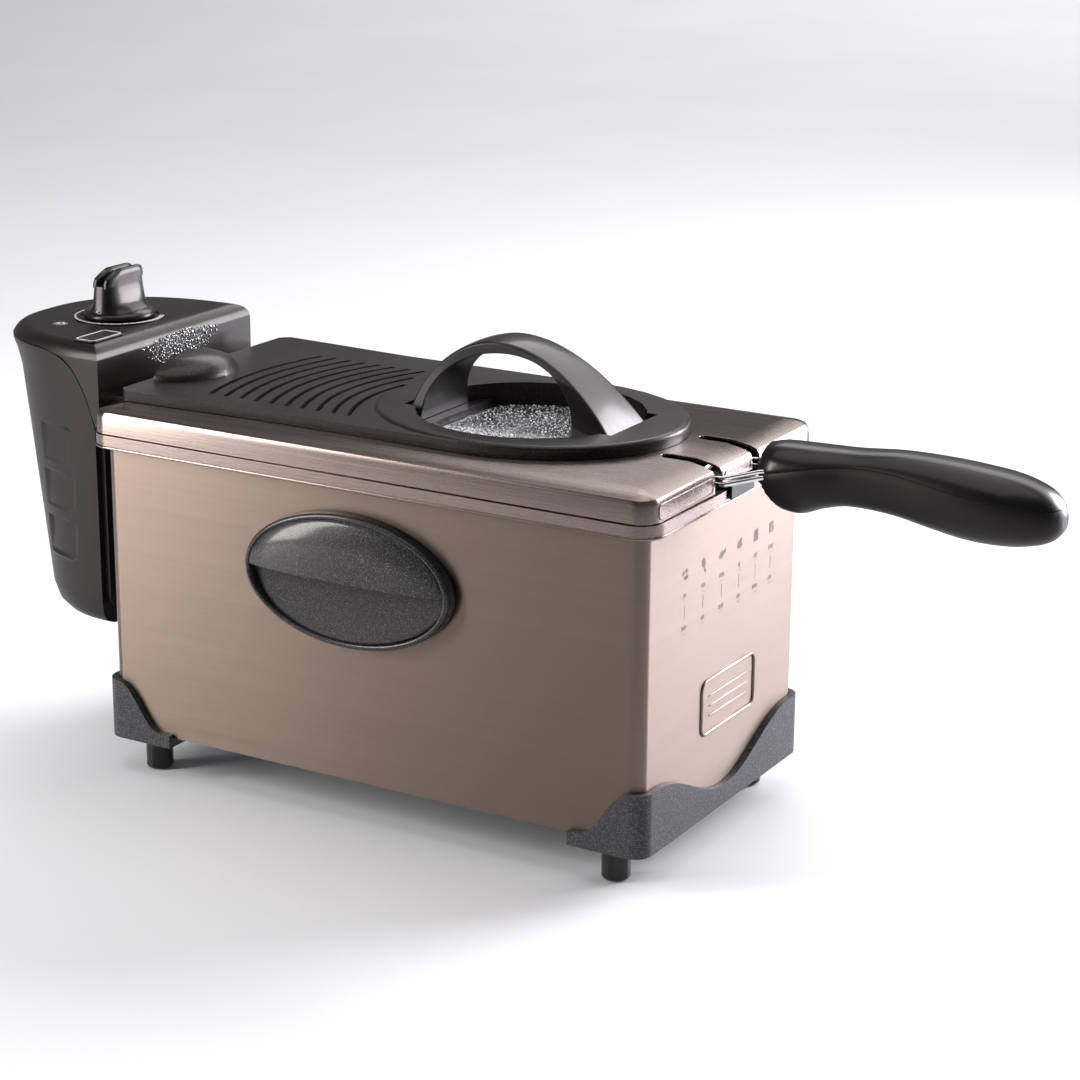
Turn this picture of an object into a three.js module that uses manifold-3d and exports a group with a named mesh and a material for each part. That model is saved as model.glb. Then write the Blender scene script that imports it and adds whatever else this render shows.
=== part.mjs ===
// Deep fryer: steel housing on four feet, lift-out oil pot, wire basket with a folding handle,
// steel lid with a viewing window, and a control head that hangs on one end and carries the
// heating element. Millimetres, +Z up, +X towards the basket handle. Everything is drawn with
// the housing's middle at X = 0, Y = 0 and the table at Z = 0, and the whole is then moved
// along X so that the origin is the middle of its footprint.
import * as THREE from 'three';
import { mergeVertices } from 'three/addons/utils/BufferGeometryUtils.js';
import Module from 'manifold-3d';

const wasm = await Module();
wasm.setup();

// ---------------------------------------------------------------- driving dimensions
const GAP = 0.3; // between pieces that touch
const RUN = 0.5; // between pieces that slide on each other

const foot = { radius: 7.5, height: 19.2, fromEnd: 20, fromSide: 12.5, edge: 1.5 };
const bracket = { wall: 3.6, floor: 5, rise: 28.5, dip: 5.5, dipHalf: 75, sideReach: 31, flat: 6,
  sideEnd: 2.2, floorReach: 40, corner: 10 };
const housing = { length: 332, width: 175, height: 167.5, wall: 1.2, corner: 7, lip: 14 };
const endX = housing.length / 2;
const sideY = housing.width / 2;
const basePlate = { thickness: 3, slots: 5, slotPitch: 16, slotLength: 70, slotWidth: 5 };
const pot = { overhang: 7.3, band: 7.2, sheet: 1.4, inset: 8, depth: housing.height - 31.5, corner: 24,
  floorRound: 10 };
const lid = { overhang: 5.8, skirt: 9.2, edge: 3.8, crown: 2, shoulder: 9, sheet: 1.2, corner: 11 };
const slot = { width: 8, spacing: 42, length: 33, hookWidth: 34, hookHeight: 3.2 };
const cover = { edge: 5.6, top: 2.2, ringRise: 1.2, endInset: 1.5, halfWidth: sideY - 15, flare: 4.5,
  flareLength: 88, corner: 5 };
const ovalX = endX - 116;
const oval = { halfLength: 87, holeHalfLength: 62, holeHalfWidth: cover.halfWidth - 13.5, wall: 6.5,
  ledge: 8.4, depth: 19.4, floor: 2.2, seat: 6, windowFrom: ovalX - 46, windowTo: ovalX + 37 };
const glass = { thickness: 3, gasket: 1.2, clearance: 0.5 };
// Places along X are measured from the middle of the oval.
const arch = { height: 45.7, left: 62, peak: -12, right: 61, innerLeft: 46.5, innerPeak: -6,
  innerRight: 37.5, innerHeight: 39.4, footHalf: 24, topHalf: 14, pocket: 1.2, screwDepth: 7 };
const filter = { length: 94, width: 2 * (cover.halfWidth - 19.5), x: ovalX - 123, thickness: 2.4 };
const vent = { count: 10, first: ovalX - 166, pitch: 10, width: 3, from: -(cover.halfWidth - 14.5),
  to: cover.halfWidth - 26.5, sag: 8, sagGrowth: 0.7, shortening: 16 };
const hump = { y: -20, halfWidth: 31, length: 27, height: 11, fromEnd: 4, wall: 2, openingHalf: 14,
  openingFrom: 9, openingTo: 21 };
const head = { standoff: 17.5, depth: 97, halfWidth: sideY - 17.5, rise: 40.5, height: 161.5, wall: 2.5,
  plate: 3, squareness: 2.4 };
const panel = { count: 3, fromFront: 35, length: 26, height: 20, pitch: 27, underTop: 63, depth: 0.9 };
const rail = { halfWidth: 30, sheet: 2, reach: head.standoff - 2.8, lip: 11, underTop: 12.3, length: 96 };
const carrier = { halfWidth: head.halfWidth - 8, sheet: 1.5, drop: pot.depth - 6, fromPotWall: 5 };
const element = { radius: 3.5, outer: carrier.halfWidth - 6, inner: 19, reach: endX - 38,
  turnBack: -(endX - 54), aboveFloor: 10, bend: 12 };
const strap = { width: 8, sheet: 1.5, side: 7, left: -60, right: 80 };
const sensor = { radius: 2.5, aboveFloor: 18, reach: 70, bend: 9 };
const thermostatCase = { length: 34, width: 30, corner: 5, height: 21, collarRadius: 7, collar: 3,
  underCover: 6 };
const cutout = { radius: 9, thickness: 8, fromFront: 30, y: -26, rise: 60 };
const terminals = { length: 16, width: 36, height: 16, fromFront: 28, y: 26, rise: 40, pitch: 10,
  bore: 3 };
const safety = { length: 10, width: 28, height: 16, fromFront: 11, rise: 60, plunger: 3 };
const underside = { fromFront: 24, y: 26 };
const knob = { radius: 20.4, skirt: 5, finHeight: 22.5, finHalf: 5, finLength: 37, fromFront: 40.5 };
const shaft = { radius: 3, length: 30, rise: 12 };
const basket = { left: -(endX - 48), right: endX - 20, halfWidth: sideY - 17.5, aboveFloor: 26,
  height: pot.depth - 35, wall: 2, corner: 16, bar: 4 };
const pivot = { x: endX - 14, aboveRim: 4.2, rod: 1.6, ear: 1.5, earHalf: slot.spacing / 2 + 5,
  end: 2.5 };
const wire = { radius: 1.4, upper: 1.1, lift: 3.3, half: slot.spacing / 2, gripHalf: 13, reach: 26,
  bend: 14 };
const grip = { start: endX + 24, length: 155, wall: 3.2, screwAt: 0.42 };
const sideGrip = { x: -5.5, height: housing.height - 55, halfLength: 63.5, halfHeight: 36, rim: 7.6,
  bulge: 6, back: 2.4, inset: 2.2, shell: 2.6 };
const button = { radius: 4.5, length: 14, proud: 3.5, flange: 2 };
const gland = { radius: 7, length: 16, bore: 3.6 };
const screw = { radius: 1.6, head: 3.4, headHeight: 1.8 };
const topScrew = { radius: 5, fromFront: 56.5, y: 33, depth: 7, recess: 3, recessHalf: 0.6 };
const badge = { fromFront: 15.5, y: -(head.halfWidth - 21), length: 27, width: 15, thickness: 0.8 };
const dial = { inner: 22.6, outer: 26, thickness: 0.6 };

// ---------------------------------------------------------------- levels and planes
const housingBottom = foot.height + GAP + bracket.floor + GAP;
const housingTop = housingBottom + housing.height;
const potTop = housingTop + GAP + pot.sheet;
const potFloor = potTop - pot.depth;
const lidBottom = potTop + GAP;
const lidTop = lidBottom + lid.skirt + lid.edge + lid.crown;
const coverBottom = lidTop + GAP;
const coverTop = coverBottom + cover.edge;
const ringTop = coverTop + cover.ringRise;
const ledgeTop = ringTop - oval.ledge;
const bowlBottom = ringTop - oval.depth;
const railTop = housingTop - rail.underTop;
const railBottom = railTop - rail.length;
const headTop = potTop + head.rise;
const headBottom = headTop - head.height;
const headFront = -(endX + head.standoff);
const headRear = headFront - head.depth;
const knobX = headFront - knob.fromFront;
const bowlEnd = endX - pot.inset - pot.sheet;
const carrierTop = potTop + 2 + carrier.sheet;
const carrierX = -(bowlEnd - carrier.fromPotWall);
const tubeLevel = carrierTop + GAP + element.radius;
const basketBottom = potFloor + basket.aboveFloor;
const basketTop = basketBottom + basket.height;
const pivotZ = potTop + pivot.aboveRim;
const gripEnd = grip.start + grip.length;
const undersideX = headFront - underside.fromFront;
const topScrewX = headFront - topScrew.fromFront;
const grooveZ = housingBottom + sideGrip.height;

// ---------------------------------------------------------------- materials
const finish = (color, roughness, metalness) =>
  new THREE.MeshStandardMaterial({ color, roughness, metalness });
const champagneSteel = finish(0xb3a093, 0.35, 0.9);
const potSteel = finish(0xb9b6b1, 0.25, 0.95);
const chrome = finish(0xd8d8d8, 0.12, 1);
const plainSteel = finish(0x9c9c9c, 0.4, 0.9);
const blackPlastic = finish(0x1d1a19, 0.5, 0);
const greyPlastic = finish(0x57585a, 0.6, 0);
const speckledPlastic = finish(0x3b3c42, 0.5, 0.1);
const glossPlastic = finish(0x141414, 0.2, 0);
const rubber = finish(0x101010, 0.8, 0);
const clearGlass = finish(0x9aa3a3, 0.05, 0);
const filterFelt = finish(0x3a3631, 0.95, 0);
const whitePrint = finish(0xd9d9d6, 0.6, 0);
const ceramic = finish(0xe4dfd2, 0.5, 0);

// ---------------------------------------------------------------- geometry helpers
function toSolid(geometry) {
  const bare = geometry.clone();
  bare.deleteAttribute('normal');
  bare.deleteAttribute('uv');
  const merged = mergeVertices(bare, 1e-4);
  return new wasm.Manifold(new wasm.Mesh({
    numProp: 3,
    vertProperties: new Float32Array(merged.attributes.position.array),
    triVerts: new Uint32Array(merged.index.array),
  }));
}

function toGeometry(solid) {
  const mesh = solid.getMesh();
  const geometry = new THREE.BufferGeometry();
  geometry.setAttribute('position', new THREE.BufferAttribute(mesh.vertProperties, 3));
  geometry.setIndex(new THREE.BufferAttribute(mesh.triVerts, 1));
  return geometry;
}

const join = (...solids) => solids.reduce((sum, next) => sum.add(next));
const cut = (solid, ...tools) => tools.reduce((rest, tool) => rest.subtract(tool), solid);

// A closed outline from a list of [x, y] points.
function outline(points) {
  return new THREE.Shape(points.map(([x, y]) => new THREE.Vector2(x, y)));
}

function roundedRect(length, width, radius, x = 0, y = 0) {
  const [a, b] = [length / 2 - radius, width / 2 - radius];
  const shape = new THREE.Shape();
  shape.absarc(x + a, y + b, radius, 0, Math.PI / 2);
  shape.absarc(x - a, y + b, radius, Math.PI / 2, Math.PI);
  shape.absarc(x - a, y - b, radius, Math.PI, Math.PI * 1.5);
  shape.absarc(x + a, y - b, radius, Math.PI * 1.5, Math.PI * 2);
  return shape;
}

function ellipse(x, y, a, b) {
  const shape = new THREE.Shape();
  shape.absellipse(x, y, a, b, 0, Math.PI * 2);
  return shape;
}

// Extrudes a plan outline from one height to another.
function upright(shape, from, to, curveSegments = 6) {
  const geometry = new THREE.ExtrudeGeometry(shape, { depth: to - from, bevelEnabled: false, curveSegments });
  return toSolid(geometry.translate(0, 0, from));
}

// Extrudes an [x, z] outline across the width, from one y to another.
function across(shape, from, to, curveSegments = 6) {
  const geometry = new THREE.ExtrudeGeometry(shape, { depth: to - from, bevelEnabled: false, curveSegments });
  return toSolid(geometry.rotateX(Math.PI / 2).translate(0, to, 0));
}

// Extrudes a [y, z] outline along the length, from one x to another.
function along(shape, from, to, curveSegments = 6) {
  const geometry = new THREE.ExtrudeGeometry(shape, { depth: to - from, bevelEnabled: false, curveSegments });
  return toSolid(geometry.rotateX(Math.PI / 2).rotateZ(Math.PI / 2).translate(from, 0, 0));
}

function block([x0, x1], [y0, y1], [z0, z1]) {
  const geometry = new THREE.BoxGeometry(x1 - x0, y1 - y0, z1 - z0);
  return toSolid(geometry.translate((x0 + x1) / 2, (y0 + y1) / 2, (z0 + z1) / 2));
}

// Turns a [radius, z] profile about a vertical axis at (x, y).
function turned(profile, x = 0, y = 0, sides = 24) {
  const points = profile.map(([r, z]) => new THREE.Vector2(r, z));
  return toSolid(new THREE.LatheGeometry(points, sides).rotateX(Math.PI / 2).translate(x, y, 0));
}

const rod = (radius, from, to, x, y, sides = 24) =>
  turned([[0, from], [radius, from], [radius, to], [0, to]], x, y, sides);

// A curve through given corners whose steps fall exactly on them.
class Route extends THREE.Curve {
  constructor(points) {
    super();
    this.points = points;
  }

  getPoint(t) {
    const place = t * (this.points.length - 1);
    const index = Math.min(Math.floor(place), this.points.length - 2);
    return this.points[index].clone().lerp(this.points[index + 1], place - index);
  }

  getPointAt(u) {
    return this.getPoint(u);
  }

  getTangentAt(u) {
    const index = Math.round(u * (this.points.length - 1));
    const step = (i) => this.points[i + 1].clone().sub(this.points[i]).normalize();
    return step(Math.max(index, 1) - 1).add(step(Math.min(index, this.points.length - 2))).normalize();
  }
}

// Corner points joined by arcs of the given bend radius.
function bentRoute(corners, bend, arcSteps = 5) {
  const points = corners.map(([x, y, z]) => new THREE.Vector3(x, y, z));
  const path = [points[0]];
  for (let i = 1; i < points.length - 1; i += 1) {
    const into = points[i].clone().sub(points[i - 1]).normalize();
    const out = points[i + 1].clone().sub(points[i]).normalize();
    const reach = bend * Math.tan(into.angleTo(out) / 2);
    const start = points[i].clone().addScaledVector(into, -reach);
    const end = points[i].clone().addScaledVector(out, reach);
    const arc = new THREE.QuadraticBezierCurve3(start, points[i], end);
    path.push(...arc.getPoints(arcSteps));
  }
  path.push(points.at(-1));
  return new Route(path);
}

function tube(route, radius, sides = 8) {
  const ring = outline(Array.from({ length: sides }, (_, i) => {
    const angle = (2 * Math.PI * i) / sides;
    return [radius * Math.cos(angle), radius * Math.sin(angle)];
  }));
  const steps = route.points.length - 1;
  return toSolid(new THREE.ExtrudeGeometry(ring, { steps, extrudePath: route, bevelEnabled: false }));
}

// Skins a list of closed rings that have the same number of points, and caps both ends.
function loft(rings) {
  const count = rings[0].length;
  const positions = rings.flat().flatMap((p) => [p.x, p.y, p.z]);
  const triangles = [];
  for (let r = 0; r < rings.length - 1; r += 1) {
    for (let i = 0; i < count; i += 1) {
      const [a, b] = [r * count + i, r * count + ((i + 1) % count)];
      triangles.push(a, b, b + count, a, b + count, a + count);
    }
  }
  for (const [ring, flip] of [[0, true], [rings.length - 1, false]]) {
    const middle = rings[ring].reduce((sum, p) => sum.clone().add(p)).multiplyScalar(1 / count);
    const centre = positions.length / 3;
    positions.push(middle.x, middle.y, middle.z);
    for (let i = 0; i < count; i += 1) {
      const [a, b] = [ring * count + i, ring * count + ((i + 1) % count)];
      triangles.push(...(flip ? [centre, b, a] : [centre, a, b]));
    }
  }
  let volume = 0;
  const corner = (i) => new THREE.Vector3().fromArray(positions, triangles[i] * 3);
  for (let i = 0; i < triangles.length; i += 3) {
    volume += corner(i).dot(corner(i + 1).cross(corner(i + 2)));
  }
  if (volume < 0) triangles.reverse();
  const geometry = new THREE.BufferGeometry();
  geometry.setAttribute('position', new THREE.Float32BufferAttribute(positions, 3));
  geometry.setIndex(triangles);
  return toSolid(geometry);
}

const levelRing = (shape, z, segments) => {
  const points = shape.getPoints(segments);
  if (points[0].distanceTo(points.at(-1)) < 1e-6) points.pop();
  return points.map((p) => new THREE.Vector3(p.x, p.y, z));
};

// A rounded box whose plan grows or shrinks with height: steps are [z, outset].
function steppedBox(length, width, radius, steps, segments = 4, x = 0) {
  return loft(steps.map(([z, outset]) => levelRing(
    roundedRect(length + 2 * outset, width + 2 * outset, Math.max(radius + outset, 1), x), z, segments)));
}

// ---------------------------------------------------------------- assembly
const assembly = new THREE.Group();
assembly.position.x = -(headRear + gripEnd) / 2;

function piece(name, solid, material) {
  const mesh = new THREE.Mesh(toGeometry(solid), material);
  mesh.name = name;
  assembly.add(mesh);
}

// ---------------------------------------------------------------- housing
function housingShell() {
  const { length, width, wall, corner, lip } = housing;
  const outer = upright(roundedRect(length, width, corner), housingBottom, housingTop, 4);
  const bore = upright(roundedRect(length - 2 * wall, width - 2 * wall, corner - wall),
    housingBottom + wall, housingTop + 1, 4);
  const mouth = upright(roundedRect(length - 2 * lip, width - 2 * lip, corner), housingBottom - 1,
    housingBottom + wall + 1, 4);
  return cut(outer, bore, mouth);
}

function housingFloor() {
  const clear = housing.wall + GAP;
  const from = housingBottom + housing.wall + GAP;
  const plate = upright(roundedRect(housing.length - 2 * clear, housing.width - 2 * clear,
    housing.corner - housing.wall), from, from + basePlate.thickness, 3);
  const { slots, slotPitch, slotLength, slotWidth } = basePlate;
  const vents = Array.from({ length: slots }, (_, i) => upright(
    roundedRect(slotLength, slotWidth, slotWidth / 2 - 0.1, 0, (i - (slots - 1) / 2) * slotPitch),
    from - 1, from + basePlate.thickness + 1, 2));
  return cut(plate, ...vents);
}

// Wave-shaped end bracket: high at both corners, low across the end and along the sides.
function endBracket(side) {
  const { wall, floor, rise, dip, dipHalf, sideReach, flat, sideEnd, floorReach, corner } = bracket;
  const [low, high] = [housingBottom - GAP - floor, housingBottom + rise];
  const out = wall + GAP;
  const shell = cut(
    upright(roundedRect(housing.length + 2 * out, housing.width + 2 * out, corner), low, high),
    upright(roundedRect(housing.length + 2 * GAP, housing.width + 2 * GAP, housing.corner + GAP),
      housingBottom - GAP, high + 1));
  const keep = block([endX - floorReach, endX + out + 1], [-sideY - out - 1, sideY + out + 1],
    [low - 1, high + 1]);
  const wave = (from, to, lowZ, steps) => Array.from({ length: steps + 1 }, (_, i) => {
    const share = i / steps;
    return [from + (to - from) * share, lowZ + (high - lowZ) * (1 - Math.cos(Math.PI * share)) / 2];
  });
  const half = Math.min(dipHalf, sideY - corner);
  const right = wave(0, half, housingBottom + dip, 10);
  const left = right.slice(1).reverse().map(([y, z]) => [-y, z]);
  const smile = along(outline([...left, ...right, [half, high + 5], [-half, high + 5]]),
    endX - corner + wall, endX + out + 1);
  const start = endX - flat - sideReach;
  const slope = across(outline([...wave(start + 4, endX - flat, housingBottom + sideEnd, 8),
    [endX - flat, high + 5], [start - floorReach, high + 5], [start - floorReach, housingBottom + sideEnd]]),
    -sideY - out - 1, sideY + out + 1);
  const solid = cut(shell.intersect(keep), smile, slope);
  return side > 0 ? solid : solid.rotate([0, 0, 180]);
}

function footPost(sx, sy) {
  const { radius, height, edge } = foot;
  return turned([[0, 0], [radius - edge, 0], [radius, edge], [radius, height - 3], [radius - 0.6, height],
    [0, height]], sx * (endX - foot.fromEnd), sy * (sideY - foot.fromSide));
}

// Oval cup pull: the upper half bulges over a finger pocket that is open from below.
function sideHandle(side) {
  const { x, halfLength, halfHeight, rim, bulge, back, inset, shell } = sideGrip;
  const wall = -(sideY + GAP);
  const face = wall - rim;
  const disc = across(ellipse(x, grooveZ, halfLength, halfHeight), face, wall, 10);
  const dome = toSolid(new THREE.SphereGeometry(1, 24, 12))
    .scale([halfLength - 2, bulge + 3, halfHeight - 2]).translate([x, face + 3, grooveZ]);
  const upper = block([x - halfLength, x + halfLength], [face - bulge - 5, wall - 2],
    [grooveZ + 1.5, grooveZ + halfHeight]);
  const [deep, outside] = [wall - back, face - 30];
  const hollowRing = across(ellipse(x, grooveZ, halfLength - inset, halfHeight - inset), outside, deep, 10);
  const lipInside = face - bulge + shell;
  const profile = outline([[outside, -halfHeight + inset], [face, -halfHeight + inset], [deep, -4],
    [deep, 20], [face + 1, 25], [lipInside + 1, 14], [lipInside, 1.5], [outside, 1.5]]);
  const pocket = along(profile, x - halfLength, x + halfLength).translate([0, 0, grooveZ])
    .intersect(hollowRing);
  const solid = cut(join(disc, dome.intersect(upper)), pocket);
  return side < 0 ? solid : solid.mirror([0, 1, 0]);
}

// C-shaped channel on the end wall that the control head slides down into.
function headRail() {
  const { halfWidth, sheet, reach, lip } = rail;
  const inner = -(endX + GAP);
  const web = block([inner - sheet, inner], [-halfWidth, halfWidth], [railBottom, railTop]);
  const channel = [-1, 1].map((s) => {
    const [y0, y1] = [s * (halfWidth - sheet), s * halfWidth].sort((a, b) => a - b);
    const [l0, l1] = [s * (halfWidth - lip), s * halfWidth].sort((a, b) => a - b);
    return join(block([inner - reach, inner - sheet / 2], [y0, y1], [railBottom, railTop]),
      block([inner - reach, inner - reach + sheet], [l0, l1], [railBottom, railTop]));
  });
  return join(web, ...channel);
}

piece('housing_shell', housingShell(), champagneSteel);
piece('base_plate', housingFloor(), plainSteel);
piece('end_bracket_right', endBracket(1), speckledPlastic);
piece('end_bracket_left', endBracket(-1), speckledPlastic);
for (const [end, sx] of [['left', -1], ['right', 1]]) {
  for (const [face, sy] of [['front', -1], ['back', 1]]) {
    piece(`foot_${end}_${face}`, footPost(sx, sy), rubber);
  }
}
piece('side_handle_front', sideHandle(-1), speckledPlastic);
piece('side_handle_back', sideHandle(1), speckledPlastic);
piece('head_rail', headRail(), plainSteel);

// ---------------------------------------------------------------- oil pot
function oilPot() {
  const { overhang, band, sheet, inset, corner, floorRound } = pot;
  const [bowlLength, bowlWidth] = [housing.length - 2 * inset, housing.width - 2 * inset];
  const rimRadius = housing.corner + overhang;
  const rim = cut(
    upright(roundedRect(housing.length + 2 * overhang, housing.width + 2 * overhang, rimRadius),
      potTop - band, potTop),
    upright(roundedRect(housing.length + 2 * (overhang - sheet), housing.width + 2 * (overhang - sheet),
      rimRadius - sheet), potTop - band - 1, potTop - sheet));
  const bowl = (thin, bottom, top) => steppedBox(bowlLength - 2 * thin, bowlWidth - 2 * thin, corner - thin, [
    [bottom, -floorRound], [bottom + floorRound * 0.3, -floorRound * 0.3], [bottom + floorRound, 0],
    [top, 0]]);
  return cut(join(rim, bowl(0, potFloor - sheet, potTop)), bowl(sheet, potFloor, potTop + 1));
}

piece('oil_pot', oilPot(), potSteel);

// ---------------------------------------------------------------- control head
// D-shaped outline: a straight front and a full, rounded rear.
function headRing(z, lessDepth, lessWidth, inset = 0) {
  const [depth, half] = [head.depth - lessDepth - 2 * inset, head.halfWidth - lessWidth - inset];
  const power = 2 / head.squareness;
  return Array.from({ length: 25 }, (_, i) => {
    const angle = (Math.PI * (i - 12)) / 24;
    const y = Math.sign(i - 12) * half * Math.abs(Math.sin(angle)) ** power;
    return new THREE.Vector3(headFront - inset - depth * Math.abs(Math.cos(angle)) ** power, y, z);
  });
}

// Steps are [z, less depth, less width, inset] from a rounded bottom, up a tapering wedge, to a
// flared rim and a softly rounded top. The inner skin is the same form, one wall smaller.
function headForm(wall) {
  const [bottom, top] = [headBottom, headTop];
  const steps = [[bottom, 45, 10, 0], [bottom + 2.5, 36, 4, 0], [bottom + 7, 30, 1, 0],
    [bottom + 15, 26, 0, 0], [top - 22, 6.5, 0, 0], [top - 13, 3, 0, 0], [top - 8, 0, 0, 0],
    [top - 4.5, 0, 0, 1], [top - 2, 0, 0, 3.2], [top - 0.6, 0, 0, 6], [top, 0, 0, 9.5]];
  if (wall === 0) return loft(steps.map((s) => headRing(...s)));
  const inner = steps.filter(([z]) => z < top - 3).map(([z, d, w, i]) => [z, d, w, i + wall]);
  inner[0][0] = bottom + wall;
  inner[1][0] = bottom + wall + 1.5;
  inner.push([top - wall, 0, 0, wall + 6]);
  return loft(inner.map((s) => headRing(...s)));
}

const plateRear = headFront - head.plate;
const skirtBottom = potTop - 4;

// Side view of the top cover's ground: level at the rear, sweeping down at the front corners.
function coverGround(grow) {
  const top = headTop;
  const sweep = new THREE.CubicBezierCurve(
    new THREE.Vector2(headFront - 44, top - 7.5), new THREE.Vector2(headFront - 20, top - 9),
    new THREE.Vector2(plateRear - 1 - grow, top - 16), new THREE.Vector2(plateRear - 1 - grow, skirtBottom));
  const edge = sweep.getPoints(8).map((p) => [p.x, p.y - grow]);
  return across(outline([[headRear + 8 - grow, top + 5], [headRear + 8 - grow, top - 5 - grow], ...edge,
    [headFront + 1, skirtBottom - grow], [headFront + 1, top + 5]]), -head.halfWidth - 5, head.halfWidth + 5);
}

const headHollow = join(headForm(head.wall),
  block([plateRear - 8, headFront + 2], [-head.halfWidth + head.wall + 4, head.halfWidth - head.wall - 4],
    [headBottom + head.wall, skirtBottom - GAP]));
const bridgeWindow = block([headFront - 10, headFront + 2],
  [-carrier.halfWidth - 1, carrier.halfWidth + 1],
  [carrierTop - carrier.sheet - 1, tubeLevel + element.radius + 1]);

function headCover() {
  const holes = [rod(shaft.radius + RUN, headTop - 12, headTop + 2, knobX, 0)];
  for (const s of [-1, 1]) {
    holes.push(rod(topScrew.radius + GAP, headTop - 2, headTop + 2, topScrewX, s * topScrew.y, 16));
    holes.push(rod(screw.radius + GAP, headTop - 12, headTop, topScrewX, s * topScrew.y, 12));
  }
  return cut(headForm(0).intersect(coverGround(0)), headHollow, bridgeWindow, ...holes);
}

// Shallow finger panels, one above the other on each flank, that follow the wall's taper.
function headPanels() {
  const { count, fromFront, length, height, pitch, underTop, depth } = panel;
  const x = headFront - fromFront;
  const blocks = Array.from({ length: count }, (_, i) => headTop - underTop - i * pitch).map((z) =>
    block([x - length / 2, x + length / 2], [-sideY, sideY], [z - height / 2, z + height / 2]));
  return join(...blocks).subtract(headForm(depth));
}

function headShell() {
  const front = block([plateRear - GAP, headFront + 2], [-sideY, sideY], [headBottom - 1, skirtBottom + 40]);
  const holes = [[gland.radius - 1.5, underside.y], [button.radius + RUN, -underside.y]].map(([radius, y]) =>
    rod(radius, headBottom - 1, headBottom + 5, undersideX, y, 16));
  return cut(headForm(0), coverGround(GAP), headHollow, front, ...holes, headPanels());
}

function headPlate() {
  const clear = 0.4;
  const shape = roundedRect(2 * (head.halfWidth - clear - 3), skirtBottom - GAP - headBottom - 12, 6, 0,
    (skirtBottom - GAP + headBottom + 12) / 2);
  return along(shape, plateRear, headFront, 4);
}

function headTongue() {
  const inner = -(endX + GAP);
  const lipBack = inner - rail.reach + rail.sheet;
  const neck = rail.halfWidth - rail.lip - RUN;
  const wide = rail.halfWidth - rail.sheet - RUN;
  const span = [railBottom + 1, railTop];
  return join(block([lipBack + RUN, -(endX + pot.overhang) - 1], [-wide, wide], span),
    block([headFront + GAP, lipBack + RUN + 1], [-neck, neck], span));
}

function elementCarrier() {
  const { halfWidth, sheet, drop } = carrier;
  const [y0, y1] = [-halfWidth, halfWidth];
  const plate = join(
    block([headFront - 8, carrierX + sheet], [y0, y1], [carrierTop - sheet, carrierTop]),
    block([carrierX, carrierX + sheet], [y0, y1], [carrierTop - drop, carrierTop - sheet / 2]));
  return cut(plate, heatingElement(GAP), sensorTube(GAP));
}

// Tube bent into three long loops, with both ends led up and over the rim into the head.
function heatingElement(grow = 0) {
  const { outer, inner, reach, turnBack, aboveFloor, bend, radius } = element;
  const [x, z] = [carrierX + carrier.sheet + GAP + radius, potFloor + aboveFloor];
  const start = headFront - 6;
  const half = (s) => [[start, s * outer, tubeLevel], [x, s * outer, tubeLevel], [x, s * outer, z],
    [reach, s * outer, z], [reach, s * inner, z], [turnBack, s * inner, z]];
  return tube(bentRoute([...half(-1), ...half(1).reverse()], bend, 4), radius + grow, 8);
}

function sensorTube(grow = 0) {
  const { radius, aboveFloor, reach, bend } = sensor;
  const [x, z] = [carrierX + carrier.sheet + GAP + radius, potFloor + aboveFloor];
  const level = carrierTop + GAP + radius;
  const corners = [[headFront - 6, 0, level], [x, 0, level], [x, 0, z], [x + reach, 0, z]];
  return tube(bentRoute(corners, bend, 4), radius + grow, 8);
}

// Channel-shaped strap under the tubes.
function elementStrap(x) {
  const { width, sheet, side } = strap;
  const z = potFloor + element.aboveFloor - element.radius - GAP;
  const half = element.outer + element.radius + 2;
  const span = [x - width / 2, x + width / 2];
  const walls = [-1, 1].map((s) => {
    const [y0, y1] = [s * half, s * (half - sheet)].sort((a, b) => a - b);
    return block(span, [y0, y1], [z - 1, z + side]);
  });
  return join(block(span, [-half, half], [z - sheet, z]), ...walls);
}

function thermostat() {
  const { length, width, corner, height, collarRadius, collar, underCover } = thermostatCase;
  const top = headTop - head.wall - underCover;
  const body = upright(roundedRect(length, width, corner, knobX, 0), top - height - collar, top - collar, 3);
  return cut(join(body, rod(collarRadius, top - collar - 1, top, knobX, 0, 16)),
    rod(shaft.radius + RUN, top - 14, top + 1, knobX, 0));
}

function terminalBlock() {
  const { length, width, height, fromFront, y, rise, pitch, bore } = terminals;
  const [x, z] = [headFront - fromFront, headBottom + rise];
  const body = block([x - length / 2, x + length / 2], [y - width / 2, y + width / 2], [z, z + height]);
  return cut(body, ...[-1, 0, 1].map((i) => rod(bore, z + height / 2, z + height + 4, x, y + i * pitch, 12)));
}

// Switch that is pressed while the head sits on its rail.
function safetySwitch() {
  const { length, width, height, fromFront, rise, plunger } = safety;
  const [x, z] = [headFront - fromFront, headBottom + rise];
  const front = x + length / 2;
  return join(block([x - length / 2, front], [-width / 2, width / 2], [z, z + height]),
    block([front - 1, front + 2], [-plunger, plunger], [z + 6, z + 10]));
}

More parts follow.
